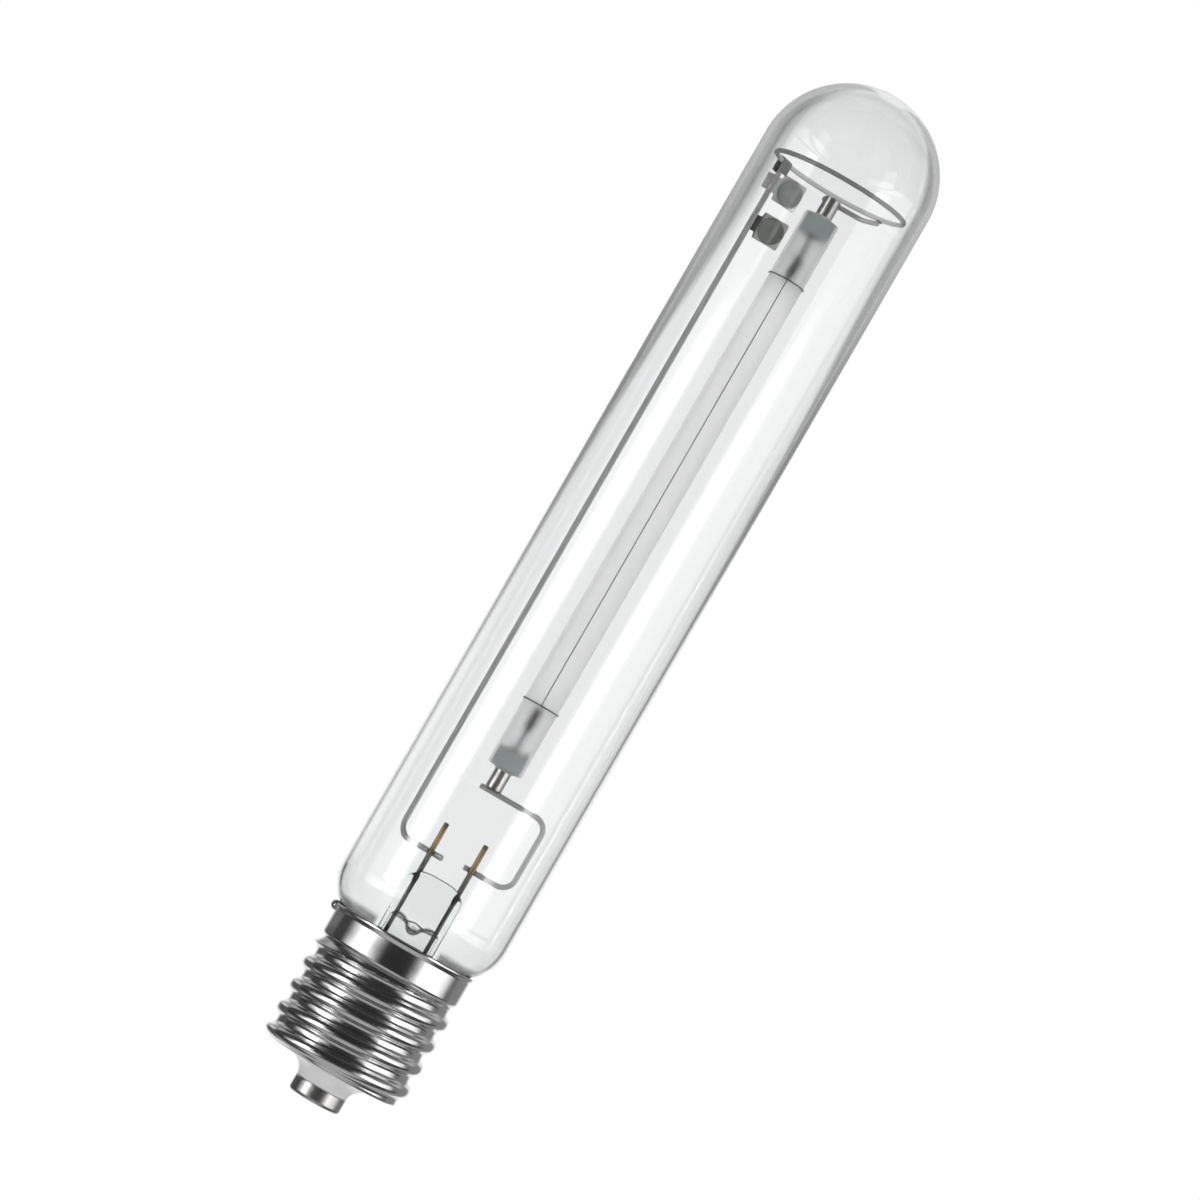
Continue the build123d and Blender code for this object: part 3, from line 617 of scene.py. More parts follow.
tray_half = 3.65
tray_sheet = 0.3
tray_corner = 0.5
corner_reach = 0.96
tail_half = 2.15
tail_step = 0.4
lip_rise = 0.3
lip_radius = 3.55
lip_half = 0.22
bent_from = 3.7
bent_back = 0.05
tablet_half = 0.35
tablet_edge = 0.2
tablet_bevel = 0.06
tablet_dish = 0.05
seat_gap = 0.02
# One powder for both tablets: the upper's paler colours are painted light, for its turned face that catches
# more light.
upper_powder = getter_powder("upper_getter_powder", (0.13, 0.145, 0.14), (0.58, 0.615, 0.605))
lower_powder = getter_powder("lower_getter_powder", (0.06, 0.063, 0.057), (0.42, 0.43, 0.40))
# The upper tray's near white tail tone is a painted highlight; the lower tray's dark one is weld burn.
for level, turn_degrees, tail, powder, tail_burn_and_glint in (
    ("upper", 24.0, 7.75, upper_powder, 0.95),
    ("lower", 6.0, 6.45, lower_powder, 0.13),
):
    tablet_low, tablet_high = span(f"{level}_getter_pellet")
    middle = (tablet_low + tablet_high) / 2
    turn = math.radians(turn_degrees)
    u, v = np.meshgrid(np.linspace(-tail, tray_half, 70), np.linspace(-1, 1, 48), indexing="ij")
    step = np.clip((u + tray_half) / tail_step + 0.5, 0, 1)
    half = tail_half + (tray_half - tail_half) * step * step * (3 - 2 * step)
    corner = np.clip((u - tray_half + tray_corner) / tray_corner, 0, 1)
    w = (half - tray_corner * (1 - np.sqrt(1 - corner**2 * corner_reach))) * v
    rho = np.hypot(u, w)
    lift = lip_rise * np.exp(-(((rho - lip_radius) / lip_half) ** 2))
    lift = lift - bent_back * np.maximum(rho - bent_from, 0) ** 2
    face = stand_up(middle, turn, u, w, lift - tablet_half - seat_gap)
    tray_metal = tray_sheet_metal(f"{level}_tray_sheet", middle[0] - tray_half * math.cos(turn), tail_burn_and_glint)
    tray = lay_surface(f"{level}_getter_tray", tray_metal, face)
    if tray.data.polygons[0].normal @ Vector((math.sin(turn), -math.cos(turn), 0)) < 0:
        tray.data.flip_normals()
    sheet = tray.modifiers.new("sheet", "SOLIDIFY")
    sheet.thickness = tray_sheet * MM
    sheet.offset = -1.0
    fit(tray, "nickel_strip", f"{level}_getter_plate")
    tablet_radius = (tablet_high[2] - tablet_low[2]) / 2
    reach, rise = np.array([
        (0, -tablet_half),
        (tablet_radius, -tablet_half),
        (tablet_radius, tablet_half - tablet_edge),
        (tablet_radius - tablet_bevel, tablet_half - tablet_bevel),
        (tablet_radius - tablet_edge, tablet_half),
        (tablet_radius * 0.6, tablet_half - tablet_dish * 0.6),
        (tablet_radius * 0.3, tablet_half - tablet_dish),
        (0, tablet_half - tablet_dish),
    ]).T
    angle = np.linspace(0, 2 * np.pi, 73)[:, None]
    reach = reach * (1 + 0.006 * np.sin(9 * angle) + 0.005 * np.sin(14 * angle))
    disc = stand_up(middle, turn, reach * np.cos(angle), reach * np.sin(angle), rise + 0 * angle)
    fit(lay_surface(f"{level}_getter_tablet", powder, disc), "getter_pellet", f"{level}_getter_pellet")

# Arc tube: one length of sintered alumina, translucent and slightly grey green, open at both ends.
# Its ends are closed by white alumina plugs, with fused frit round the niobium feedthroughs.


def fade(ground, value, start, end, low, high):
    """Tone that goes smoothly from low to high while the value goes from start to end."""
    steps = {0: value, 1: start, 2: end, 3: low, 4: high}
    return ground.node("ShaderNodeMapRange", {"interpolation_type": "SMOOTHSTEP"}, steps)


def arc_ceramic(name, tint, clear, roughness, end_shading=None):
    """Sintered alumina: milky ceramic that passes a share of the light blurred, with a fine grain.
    An end shading, if there is one, gives the share of a grey painted shade from the material's tree."""
    material, ground = open_finish(name)
    crystals = grain(ground, 3200.0)
    clouds = grain(ground, (120.0, 120.0, 40.0))
    pale = tuple(min(1.0, 1.06 * c) for c in tint)
    colour = blend(ground, clouds * 0.7 + crystals * 0.3, tint, pale)
    return close_finish(material, ground, {
        "Base Color": blend(ground, end_shading(ground), colour, end_shade_grey) if end_shading else colour,
        "Roughness": roughness + crystals * 0.08,
        "IOR": 1.2,
        "Transmission Weight": clear,
        "Normal": relief(ground, crystals, 0.000008),
    })


def wall(radius, start, end, steps):
    """Points (radius, height) on an upright line, from one height to another."""
    return np.stack([np.full(steps, radius), np.linspace(start, end, steps)], -1)


tube_low, tube_high = span("arc_tube")
tube_radius = tube_high[0]
tube_wall = 0.75
tube_bore = tube_radius - tube_wall
tube_edge = 0.4
tube_end = 1.0
tube_profile = np.concatenate([
    [(tube_bore, tube_low[2]), (tube_radius - tube_edge, tube_low[2])],
    arc((tube_radius - tube_edge, tube_low[2] + tube_edge), tube_edge, -90, 0, 6)[1:],
    wall(tube_radius, tube_low[2] + tube_end, tube_high[2] - tube_end, 60),
    arc((tube_radius - tube_edge, tube_high[2] - tube_edge), tube_edge, 0, 90, 6),
    [(tube_bore, tube_high[2])],
    wall(tube_bore, tube_high[2] - tube_end, tube_low[2] + tube_end, 60),
    [(tube_bore, tube_low[2])],
])
# Grey and reach of the painted shade in the tube's ends.
end_shade_grey = (0.885, 0.9, 0.895)
end_shade_start = 27.0
end_shade_full = 14.0
end_shade_low_share = 0.45


def electrode_shade_paint(ground):
    """Painted shade that darkens the translucent tube's ends round the electrodes: it comes in between two
    distances from the upper end, and in the same way but fainter at the lower end."""
    height = where(ground, 2)
    upper = fade(ground, tube_high[2] - height, end_shade_full, end_shade_start, 1.0, 0.0)
    return upper + fade(ground, height - tube_low[2], end_shade_full, end_shade_start, end_shade_low_share, 0.0)


tube_ceramic = arc_ceramic("arc_tube_ceramic", (0.985, 0.995, 0.99), 1.0, 0.88, electrode_shade_paint)
fit(lay_surface("arc_tube_sintered", tube_ceramic, turned(tube_profile, 72)), "arc_ceramic", "arc_tube")
plug_ceramic = arc_ceramic("plug_ceramic", (0.565, 0.595, 0.59), 0.1, 0.55)
paint(plug_ceramic, "upper_end_plug", "lower_end_plug")
frit_ceramic = arc_ceramic("frit_ceramic", (0.66, 0.65, 0.60), 0.0, 0.3)
paint(frit_ceramic, "upper_frit_seal", "lower_frit_seal")
tungsten = wire_metal("tungsten", (0.20, 0.20, 0.20), (0.10, 0.10, 0.10), 0.4)
paint(tungsten, "upper_electrode", "lower_electrode")
amalgam = wire_metal("amalgam", (0.78, 0.78, 0.77), (0.66, 0.66, 0.66), 0.06)
paint(amalgam, "amalgam_dose")

# Feedthroughs: thin niobium tubes, smooth and bright, closed inside the plug and cut square outside.
# The outer end is left open, with a fine burr from cutting.
feed_wall = 0.3
feed_bore = feed_radius - feed_wall
feed_floor = 0.8
feed_sealed = 3.0
feed_welded = 2.0
burr = 0.1
burr_flat = 0.06
niobium = wire_metal("niobium_tube", (0.74, 0.73, 0.715), (0.60, 0.59, 0.58), 0.34, (700.0, 700.0, 90.0))
for level, outwards in (("upper", 1), ("lower", -1)):
    low, high = span(f"{level}_feedthrough")
    inner, outer = (low[2], high[2]) if outwards > 0 else (high[2], low[2])
    floor_height = inner + outwards * feed_floor
    profile = [
        (0, inner),
        (feed_radius, inner),
        (feed_radius, inner + outwards * feed_sealed),
        (feed_radius, outer - outwards * feed_welded),
        (feed_radius, outer - outwards * burr),
        (feed_radius - burr, outer),
        (feed_bore + burr_flat, outer),
        (feed_bore, outer - outwards * burr),
        (feed_bore, floor_height),
        (0, floor_height),
    ]
    walls, floor_disc = turned(profile[:-1], 64), turned(profile[-2:], 64)
    tube = lay_surface(f"{level}_feedthrough_drawn", niobium, walls, floor_disc)
    fit(tube, "niobium", f"{level}_feedthrough")

# Starting aid: a thin molybdenum wire along the front of the arc tube, with one turn round it at each
# electrode's tip. It is dull and dark from firing.
aid_low, aid_high = span("starting_aid_wire")
aid_radius = 0.2
link_radius = 0.15
loop_radius = aid_high[0] - aid_radius
loop_heights = (aid_low[2] + aid_radius, aid_high[2] - aid_radius)
loops = [turned(arc((loop_radius, height), aid_radius, 0, 360, 13), 96) for height in loop_heights]
link_path = run(*((0, -loop_radius, height) for height in loop_heights))
link = drawn_wire(link_path, link_radius, sides=14)
aid_metal = wire_metal("starting_wire_metal", (0.52, 0.52, 0.51), (0.36, 0.36, 0.355), 0.5)
starting_aid = lay_surface("starting_aid_wound", aid_metal, link, *loops)
fit(starting_aid, "starting_wire", "starting_aid_wire")

# Outer bulb: one blown tube of clear hard glass with a round dome and a neck that enters the cap.
# Its wall is even but for the drawn shoulder, with very faint draw lines along it.
bulb_low, bulb_high = span("outer_bulb")
bulb_radius = bulb_high[0]
bulb_wall = 1.1
neck_radius = 16.3
waist_radius = 4.0
shoulder_radius = 12.6
shoulder_height = 55.8
thinning = 0.45
thinning_start = 1.8
thinning_run = 8.5
thinning_power = 1.5


def bulb_side(inset):
    """Profile up the bulb, moved inwards by the inset: neck, hollow waist, round shoulder, tube and dome."""
    sweep = math.acos(1 - (bulb_radius - neck_radius) / (waist_radius + shoulder_radius))
    waist_height = shoulder_height - (waist_radius + shoulder_radius) * math.sin(sweep)
    dome_height = bulb_high[2] - bulb_radius
    tilt = math.degrees(sweep)
    return np.concatenate([
        wall(neck_radius - inset, bulb_low[2], waist_height, 12)[:-1],
        arc((neck_radius + waist_radius, waist_height), waist_radius + inset, 180, 180 - tilt, 18),
        arc((bulb_radius - shoulder_radius, shoulder_height), shoulder_radius - inset, -tilt, 0, 24)[1:],
        wall(bulb_radius - inset, shoulder_height, dome_height, 60)[1:-1],
        arc((0, dome_height), bulb_radius - inset, 0, 90, 40),
    ])


bulb_tint = (0.966, 0.973, 0.974)
# Dark grey patches low on the bulb's shoulder: their tint, sides, heights and tilt.
dark_patch_tint = (0.27, 0.275, 0.275)
dark_patch_sides = (8.2, 9.6)
dark_patch_heights = (47.1, 49.15)
dark_patch_tilt = 0.015


def dark_patch_shade(ground):
    """Clear glass with two dark grey patches low on the front of the shoulder. They come in between two
    distances from the middle and go out between two heights, tilted a little."""
    x = where(ground, 0)
    aside = fade(ground, ground.maths("ABSOLUTE", x), *dark_patch_sides, 0.0, 1.0)
    level = fade(ground, where(ground, 2) + x * dark_patch_tilt, *dark_patch_heights, 1.0, 0.0)
    front = ground.maths("LESS_THAN", where(ground, 1), 0.0)
    patch_noise = grain(ground, (400.0, 400.0, 900.0), 3.0)
    share = held(ground, aside * level * front * (patch_noise * 0.8 + 0.6))
    return blend(ground, share, bulb_tint, dark_patch_tint)


bulb_outside = bulb_side(0.0)
bulb_inside = bulb_side(bulb_wall)
below_shoulder = shoulder_height - thinning_start - bulb_outside[:, 1:]
drawn_in = thinning * np.clip(below_shoulder / thinning_run, 0, 1) ** thinning_power
bulb_inside = bulb_inside + (bulb_outside - bulb_inside) * drawn_in
outer_bulb = lay_surface(
    "outer_bulb_blown",
    drawn_glass("bulb_glass", dark_patch_shade, 0.000012),
    turned(bulb_outside, 160),
    turned(bulb_inside[::-1], 160),
    turned([bulb_inside[0], bulb_outside[0]], 160),
)
fit(outer_bulb, "clear_glass", "outer_bulb")

# Capping cement: baked resin and marble powder between the glass neck and the shell, filled in as a paste.
# A bead of it is squeezed up under the rim, where it shows pale through the glass.


def cement_finish():
    """Baked cement: pale, chalky and rough, with coarse specks."""
    material, ground = open_finish("capping_cement")
    specks = grain(ground, 1800.0, 4.0)
    return close_finish(material, ground, {
        "Base Color": blend(ground, specks, (0.74, 0.72, 0.68), (0.92, 0.91, 0.88)),
        "Roughness": 0.8 + specks * 0.15,
        "Normal": relief(ground, specks, 0.00015),
    })


baked_cement = cement_finish()
paint(baked_cement, "capping_cement")
bead_gap = 0.06
bead_outside = 18.6
bead_foot = 38.8
bead_top = 45.55
bead_slope = 0.2
glass_height = np.linspace(bead_foot, bead_top, 16)
lower_glass = bulb_outside[bulb_outside[:, 1] < shoulder_height]
glass_reach = np.interp(glass_height, lower_glass[:, 1], lower_glass[:, 0]) + bead_gap
bead_profile = np.concatenate([
    [(bead_outside, bead_top - bead_slope), (bead_outside, bead_foot)],
    np.stack([glass_reach, glass_height], -1),
    [(bead_outside, bead_top - bead_slope)],
])
fit(lay_surface("capping_cement_bead", baked_cement, turned(bead_profile, 128)), "cement")

# Cap shell: brass sheet with a rolled round thread, nickel plated, with a plain skirt and a flared rim.
# The thread rises to the right over the front and fades out at the bottom corner and below the skirt.
shell_low, shell_high = span("cap_shell")
shell_foot = shell_low[2]
shell_rim = shell_high[2]
crest_radius = 19.75
thread_depth = 1.8
thread_pitch = 6.35
thread_round = 1.85
thread_first = 4.7
thread_fade = 2.2
thread_blend = 0.12
core_lift = 0.1
core_radius = crest_radius - thread_depth + core_lift
shell_wall = 0.45
shell_corner = 0.8
flange_width = 3.6
flange_radius = core_radius - shell_wall - flange_width
threaded_height = 28.2
skirt_foot = shell_foot + threaded_height
skirt_step = 1.05
skirt_radius = core_radius + skirt_step
rim_flare = 0.45
rim_radius = skirt_radius + rim_flare
rim_rise = 1.4
rim_edge = 0.5


def soft_max(a, b):
    """The larger of two lengths, with the corner between them rounded off by the thread's blend."""
    return (a + b + np.sqrt((a - b) ** 2 + thread_blend**2)) / 2


def thread_radius(angle, height):
    """Radius of the threaded wall. Crest and groove are arcs of one radius that meet at the flank's middle:
    with s the height above the nearest crest, r = crest - c + sqrt(c^2 - s^2) near the crest and
    r = root + c - sqrt(c^2 - (pitch / 2 - |s|)^2) near the groove, held under a fade at both ends and over
    the core."""
    phase = (height - shell_foot - thread_first) / thread_pitch - angle / (2 * np.pi)
    s = np.abs(phase - np.round(phase)) * thread_pitch
    crest = crest_radius - thread_round + np.sqrt(np.maximum(thread_round**2 - s**2, 0))
    valley = np.sqrt(np.maximum(thread_round**2 - (thread_pitch / 2 - s) ** 2, 0))
    groove = crest_radius - thread_depth + thread_round - valley
    wave = np.where(s < thread_pitch / 4, crest, groove)
    up = np.clip((height - shell_foot) / thread_fade, 0, 1)
    low_start = core_radius - thread_fade
    low_fade = low_start + (crest_radius - low_start) * np.sqrt(1 - (1 - up) ** 2)
    down = np.clip((skirt_foot - height) / thread_fade, 0, 1)
    high_fade = core_radius + (crest_radius - core_radius) * down
    return soft_max(np.full_like(wave, core_radius), -soft_max(-wave, -np.minimum(low_fade, high_fade)))


corner_turn = np.radians(np.linspace(-90, 0, 8))
corner_inset = shell_corner * (1 - np.cos(corner_turn))
corner_height = shell_foot + shell_corner * (1 + np.sin(corner_turn))
wall_rise = np.linspace(shell_foot + shell_corner, skirt_foot, 200)[1:]
wall_inset = np.concatenate([corner_inset, np.zeros_like(wall_rise)])
wall_height = np.concatenate([corner_height, wall_rise])
angle, height = np.meshgrid(np.linspace(0, 2 * np.pi, 257), wall_height, indexing="ij")
reach = thread_radius(angle, height) - wall_inset
threaded = np.stack([reach * np.cos(angle), reach * np.sin(angle), height], -1)
skirt_profile = bent(
    [
        (core_radius, skirt_foot),
        (skirt_radius, skirt_foot + skirt_step),
        (skirt_radius, shell_rim - rim_rise),
        (rim_radius, shell_rim - rim_edge),
        (rim_radius, shell_rim),
        (rim_radius - shell_wall, shell_rim),
        (skirt_radius - shell_wall, shell_rim - rim_rise),
        (skirt_radius - shell_wall, skirt_foot + skirt_step),
        (core_radius - shell_wall, skirt_foot),
        (core_radius - shell_wall, shell_foot + shell_wall),
        (flange_radius, shell_foot + shell_wall),
        (flange_radius, shell_foot),
        (core_radius - shell_corner, shell_foot),
    ],
    [0.9, 0.8, 0.4, 0.12, 0.12, 0.4, 0.6, 0.5, 0.3, 0.1, 0.1],
    steps=7,
)
# The skirt goes on from the threaded wall's top, over the rim and down inside to the wall's foot, so its
# first and last rows take that wall's points
skirt_grid = turned(skirt_profile, 256)
skirt_grid[:, :1] = threaded[:, -1:]
skirt_grid[:, -1:] = threaded[:, :1]


def cap_plating(name, dullness, dark, pale):
    """Nickel plating: metal with a soft cloudy haze, fine marks round the axis and a few dull spots."""
    material, ground = open_finish(name)
    place = ground.node("ShaderNodeUVMap", {"uv_map": "Wrap"})
    stretch = {0: place, 1: (2600.0, 60.0, 1.0)}
    rolled = ground.node("ShaderNodeVectorMath", {"operation": "MULTIPLY"}, stretch)
    marks = ground.node("ShaderNodeTexNoise", None, {"Vector": rolled, "Scale": 1.0, "Detail": 3.0})
    clouds = grain(ground, 130.0, 3.0)
    spots = grain(ground, 900.0, 4.0)
    return close_finish(material, ground, {
        "Base Color": blend(ground, clouds * 0.7 + spots * 0.3, dark, pale),
        "Metallic": 1.0,
        "Roughness": dullness + clouds * 0.08 + marks * 0.06,
        "Normal": relief(ground, marks * 0.4 + spots * 0.6, 0.00001),
    })


cap_nickel = cap_plating("cap_nickel_plating", 0.13, (0.61, 0.608, 0.612), (0.785, 0.783, 0.788))
cap_shell = lay_surface("cap_shell_rolled", cap_nickel, threaded, skirt_grid, crease=50.0)
fit(cap_shell, "cap_nickel", "cap_shell")

# Cap insulator: pale glazed ceramic, moulded through the shell's flange so that it can't come out.
# Below the flange it runs in a hollow flare to the contact, whose cup is pressed over its foot.
insulator_low, insulator_high = span("cap_insulator")
contact_high = span("centre_contact")[1]
contact_radius = contact_high[0]
contact_height = contact_high[2]
contact_sheet = 0.6
insulator_neck = flange_radius - seat_gap
insulator_body = insulator_high[0]
insulator_top = insulator_high[2]
insulator_foot = contact_radius - contact_sheet - seat_gap
insulator_hole = 2.0
flange_land = 0.45
flange_top = shell_foot + shell_wall + seat_gap
flare_reach = insulator_neck - flange_land
flare_foot = contact_height + seat_gap
flare_rise = shell_foot - contact_height - 2 * seat_gap
flare_side = arc((0, 0), 1.0, 180, 90, 20) * (flare_reach - contact_radius, flare_rise)
insulator_profile = np.concatenate([
    [(insulator_hole, insulator_top), (insulator_hole, insulator_low[2])],
    [(insulator_foot, insulator_low[2]), (insulator_foot, flare_foot)],
    flare_side + (flare_reach, flare_foot),
    [(insulator_neck, shell_foot - seat_gap), (insulator_neck, flange_top)],
    [(insulator_body, flange_top), (insulator_body, insulator_top), (insulator_hole, insulator_top)],
])


def glaze():
    """Pale glazed ceramic: near white with a faint grey mottle, smooth under a thin clear glaze."""
    material, ground = open_finish("insulator_glaze")
    mottle = grain(ground, 240.0, 4.0)
    pits = grain(ground, 1500.0, 3.0)
    return close_finish(material, ground, {
        "Base Color": blend(ground, mottle, (0.70, 0.69, 0.70), (0.84, 0.83, 0.835)),
        "Roughness": 0.28 + pits * 0.15,
        "Coat Weight": 0.3,
        "Coat Roughness": 0.12,
        "Normal": relief(ground, mottle * 0.5 + pits * 0.5, 0.00005),
    })


insulator = lay_surface("cap_insulator_moulded", glaze(), turned(insulator_profile, 128))
fit(insulator, "insulator_glass", "cap_insulator")

# Centre contact: a small pressed cup of nickel plated brass over the insulator's foot.
# Its face has a hole for the lead, filled with solder.
contact_round = 0.9
contact_hole = 1.6
hole_edge = 0.12
cup_edge = 0.1
face_inset = 0.6
face_reach = np.linspace(contact_hole + face_inset, contact_radius - contact_round - cup_edge, 8)
contact_profile = np.concatenate([
    [(contact_hole, contact_sheet), (contact_hole, hole_edge), (contact_hole + hole_edge, 0)],
    np.stack([face_reach, 0 * face_reach], -1),
    arc((contact_radius - contact_round, contact_round), contact_round, -90, 0, 10),
    wall(contact_radius, contact_round + 2 * cup_edge, contact_height - 2 * cup_edge, 6),
    [(contact_radius - cup_edge, contact_height), (contact_radius - contact_sheet, contact_height)],
    [(contact_radius - contact_sheet, contact_sheet), (contact_hole, contact_sheet)],
])
# The contact's plating is darker than the shell's, as painted shade that dims its highlights.
contact_nickel = cap_plating("contact_nickel_plating", 0.24, (0.44, 0.435, 0.43), (0.58, 0.575, 0.57))
contact = lay_surface("centre_contact_pressed", contact_nickel, turned(contact_profile, 96))
fit(contact, "cap_nickel", "centre_contact")

# Solder: a drop in the contact's hole, and a lump that joins the shell's lead to the rim.
# Both are tin solder, melted on by hand and left to set dull.


def solder_finish():
    """Tin solder: dull silver with a frosty grain and small hollows."""
    material, ground = open_finish("tin_solder")
    frost = grain(ground, 1600.0, 4.0)
    hollows = grain(ground, 380.0)
    return close_finish(material, ground, {
        "Base Color": blend(ground, frost, (0.34, 0.34, 0.33), (0.62, 0.62, 0.61)),
        "Metallic": 1.0,
        "Roughness": 0.28 + frost * 0.2,
        "Normal": relief(ground, hollows * 0.7 + frost * 0.3, 0.0001),
    })


solder = solder_finish()
paint(solder, "contact_solder")
drop_low = span("side_solder")[0]
drop_size = (1.35, 1.5, 1.3)
drop_place = (drop_low[0] + drop_size[0], 0.0, drop_low[2] + drop_size[2])
fit(lay_surface("side_solder_drop", solder, bead(drop_place, drop_size)), "solder", "side_solder")

# Studio: a pale floor well below the lamp, a white backdrop, four softboxes and dim cards round the rest.
# The cards stand outside the picture and show only as dark reflections in the metal and the glass; seen
# straight through clear glass they are white paper, as the room behind the lamp is from every side.


def mirrored(ground):
    """One for rays that were reflected on their way, and nought for all others."""
    return held(ground, ground.node("ShaderNodeLightPath", output="Glossy Depth"))


def seen_straight(ground, level):
    """White for rays that came through glass without a reflection, and the level for all others:
    level + straight (1 - level), where straight = transmitted (1 - mirrored)."""
    straight = ground.node("ShaderNodeLightPath", output="Is Transmission Ray") * (1 - mirrored(ground))
    return level + straight * (1 - level)


def panel(name, finish, middle, across, upward):
    """Flat card about its middle, given by its two half sides in millimetres."""
    u, v = np.meshgrid(np.linspace(-1, 1, 3), np.linspace(-1, 1, 3))
    grid = np.asarray(middle, float) + u[..., None] * np.asarray(across) + v[..., None] * np.asarray(upward)
    piece = lay_surface(name, finish, grid)
    return piece


def card(name, level_of, middle, across, upward, shades=False):
    """Glowing card that only reflections and glass see. Its grey level is worked out in its own tree."""
    material, ground = open_finish(name)
    light = ground.node("ShaderNodeEmission", None, {"Color": level_of(ground), "Strength": 1.0})
    ground.node("ShaderNodeOutputMaterial", None, {"Surface": light})
    piece = panel(name, material, middle, across, upward)
    piece.visible_camera = False
    piece.visible_diffuse = False
    piece.visible_shadow = shades


def even_level(level):
    """One grey level all over a card."""
    return lambda ground: seen_straight(ground, level)


def backdrop_level(ground):
    """White in the middle, falling to grey past an edge that closes in towards the dome:
    half width = 175 mm low down, 51 mm at the dome's height. Rays that came through more than the bulb's four
    faces were scattered by the ceramic, and find it white all over."""
    height = where(ground, 2)
    half_width = fade(ground, height, 110.0, 310.0, 175.0, 51.0)
    beyond = ground.maths("ABSOLUTE", where(ground, 0) - 6.0) - half_width
    level = fade(ground, beyond, -8.0, 24.0, 1.0, 0.28) * fade(ground, height, 270.0, 430.0, 1.0, 0.8)
    faces = ground.node("ShaderNodeLightPath", output="Transmission Depth")
    scattered = ground.maths("GREATER_THAN", faces, 5.5)
    softer = mirrored(ground) * fade(ground, height, 230.0, 350.0, 0.0, 0.4)
    return level + ground.maths("MAXIMUM", scattered, softer) * (1 - level)


def flag_level(ground):
    """Black from low down, rising to grey at the lamp's lower half and falling again to the backdrop's edge,
    for mirrored rays. It stays black for all others."""
    black = 0.05
    height = where(ground, 2)
    rise = fade(ground, height, 28.0, 62.0, 0.1, 0.85)
    fall = fade(ground, height, 110.0, 240.0, 1.0, 0.33)
    return (rise * fall - black) * mirrored(ground) + black


def low_level(ground):
    """Grey under and before the lamp, falling smoothly to nearly black further out and to its two sides."""
    x, y = where(ground, 0), where(ground, 1)
    reach = (x * x + y * y) ** 0.5
    aside = ground.maths("ABSOLUTE", x) / (reach + 1.0)
    level = fade(ground, reach, 300.0, 1800.0, 0.5, 0.03) * fade(ground, aside, 0.75, 0.97, 1.0, 0.12)
    return seen_straight(ground, level)


def softbox_level(level, rest, rise, fall, bottom, top):
    """Light that rises between two distances from the card's inner edge, falls to the rest between two more,
    comes in between two heights at the bottom and goes out between two at the top, all in millimetres."""
    def level_of(ground):
        flat = ground.node("ShaderNodeUVMap", {"uv_map": "Wrap"})
        across = ground.node("ShaderNodeSeparateXYZ", None, {0: flat}, 0) / MM
        height = where(ground, 2)
        bright = fade(ground, across, *fall, 1.0, 0.0) * fade(ground, height, *top, 1.0, 0.0)
        edge = fade(ground, across, *rise, 0.0, 1.0) * fade(ground, height, *bottom, 0.0, 1.0)
        return seen_straight(ground, (bright * (level - rest) + rest) * edge)
    return level_of


def seen_level(ground, ambient):
    """One for what the camera, glossy and transmitted rays see, and the ambient level for other rays."""
    rays = [
        ground.node("ShaderNodeLightPath", output=kind)
        for kind in ("Is Camera Ray", "Is Glossy Ray", "Is Transmission Ray")
    ]
    return held(ground, rays[0] + rays[1] + rays[2]) * (1 - ambient) + ambient


def floor_paper(white, ambient):
    """White paper that takes shadows: a matt face under the level that rays see, which tops it up."""
    material, ground = open_finish("floor_paper")
    fibres = grain(ground, 30.0, 3.0)
    return close_finish(material, ground, {
        "Base Color": blend(ground, fibres, (white - 0.02,) * 3, (white,) * 3),
        "Roughness": 0.95,
        "Emission Color": seen_level(ground, ambient),
        "Emission Strength": 1.0,
    })


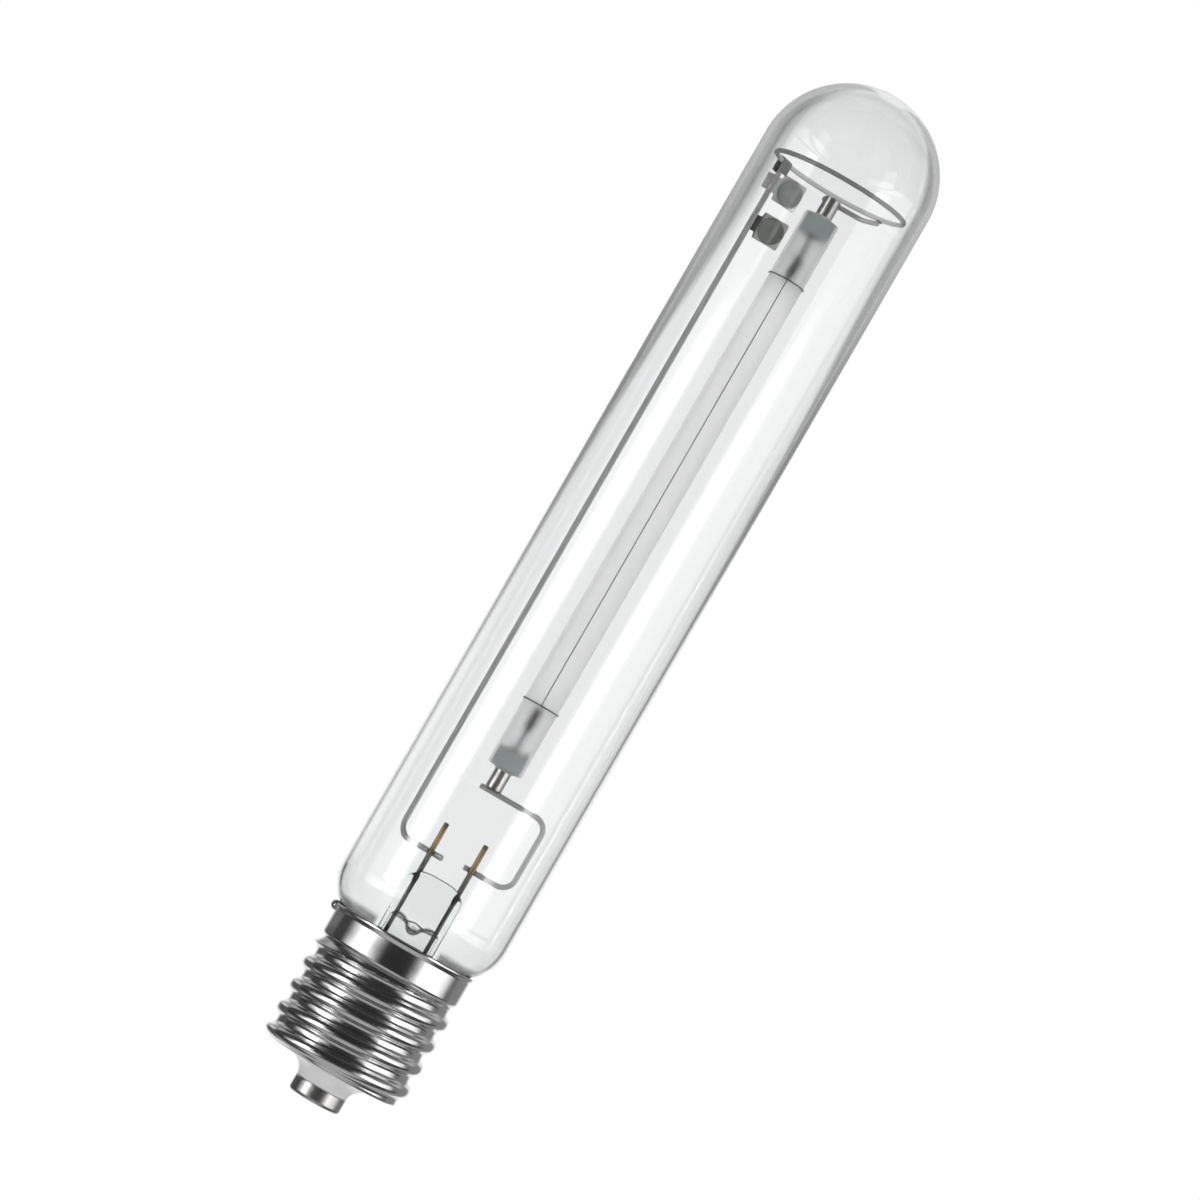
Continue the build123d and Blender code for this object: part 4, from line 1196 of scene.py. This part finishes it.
scene = bpy.context.scene
scene.view_settings.view_transform = "Standard"
world = bpy.data.worlds.new("studio")
world.use_nodes = True
world.node_tree.nodes.clear()
sky = Tone(world.node_tree)
air = sky.node("ShaderNodeBackground", None, {"Color": seen_level(sky, 0.8), "Strength": 1.0})
sky.node("ShaderNodeOutputWorld", None, {"Surface": air})
scene.world = world
panel("floor", floor_paper(0.5, 0.4), (0, 0, -400), (4000, 0, 0), (0, 4000, 0))
card("backdrop", backdrop_level, (0, 400, 200), (700, 0, 0), (0, 0, 700))
card("front_card", even_level(0.022), (0, -3000, 0), (2700, 0, 0), (0, 0, 4500))
card("left_card", even_level(0.05), (-2460, 0, 0), (0, 1500, 0), (0, 0, 4500))
card("left_low_card", flag_level, (-430, 385, -60), (200, 0, 0), (0, 0, 310))
card("right_card", even_level(0.21), (2460, 0, 0), (0, 1500, 0), (0, 0, 4500))
card("top_card", even_level(0.04), (0, 0, 3000), (4500, 0, 0), (0, 4500, 0))
card("low_card", low_level, (0, 0, -390), (4500, 0, 0), (0, 4500, 0))
left_light = softbox_level(12.0, 0.3, (0.0, 1.0), (300.0, 800.0), (-10.0, 6.0), (265.0, 468.0))
left_low_light = softbox_level(1.7, 0.0, (60.0, 1130.0), (1550.0, 2490.0), (-380.0, -300.0), (-2.0, 10.0))
right_light = softbox_level(6.5, 1.25, (0.0, 1.0), (200.0, 800.0), (-10.0, 6.0), (316.0, 501.0))
right_low_light = softbox_level(1.9, 0.0, (0.0, 1135.0), (1540.0, 2770.0), (-380.0, -300.0), (-2.0, 12.0))
card("softbox_left", left_light, (-1776, -1005, 130), (-243, 426, 0), (0, 0, 480), True)
card("softbox_left_low", left_low_light, (-1266, -822, -190), (-715, 1100, 0), (0, 0, 200), True)
card("softbox_right", right_light, (1800, -534, 130), (264, 897, 0), (0, 0, 480), True)
card("softbox_right_low", right_low_light, (1334, -539, -190), (520, 1288, 0), (0, 0, 202), True)

# Camera: a long lens a little below the lamp's middle, straight before it, with no shift and no blur.
# It is rolled so that the lamp leans 30 degrees to the right in the picture.
aim = Vector((-0.5, 0.0, 143.6)) * MM
camera_place = Vector((-0.5, -1300.0, 80.0)) * MM
picture_width = 299.6
lean = math.radians(30.0)
lens = bpy.data.cameras.new("camera")
camera = bpy.data.objects.new("camera", lens)
scene.collection.objects.link(camera)
away = camera_place - aim
camera.matrix_world = (
    Matrix.Translation(camera_place)
    @ away.to_track_quat("Z", "Y").to_matrix().to_4x4()
    @ Matrix.Rotation(lean, 4, "Z")
)
lens.sensor_width = 36.0
lens.lens = lens.sensor_width * away.length / (picture_width * MM)
lens.clip_start = 0.05
scene.camera = camera
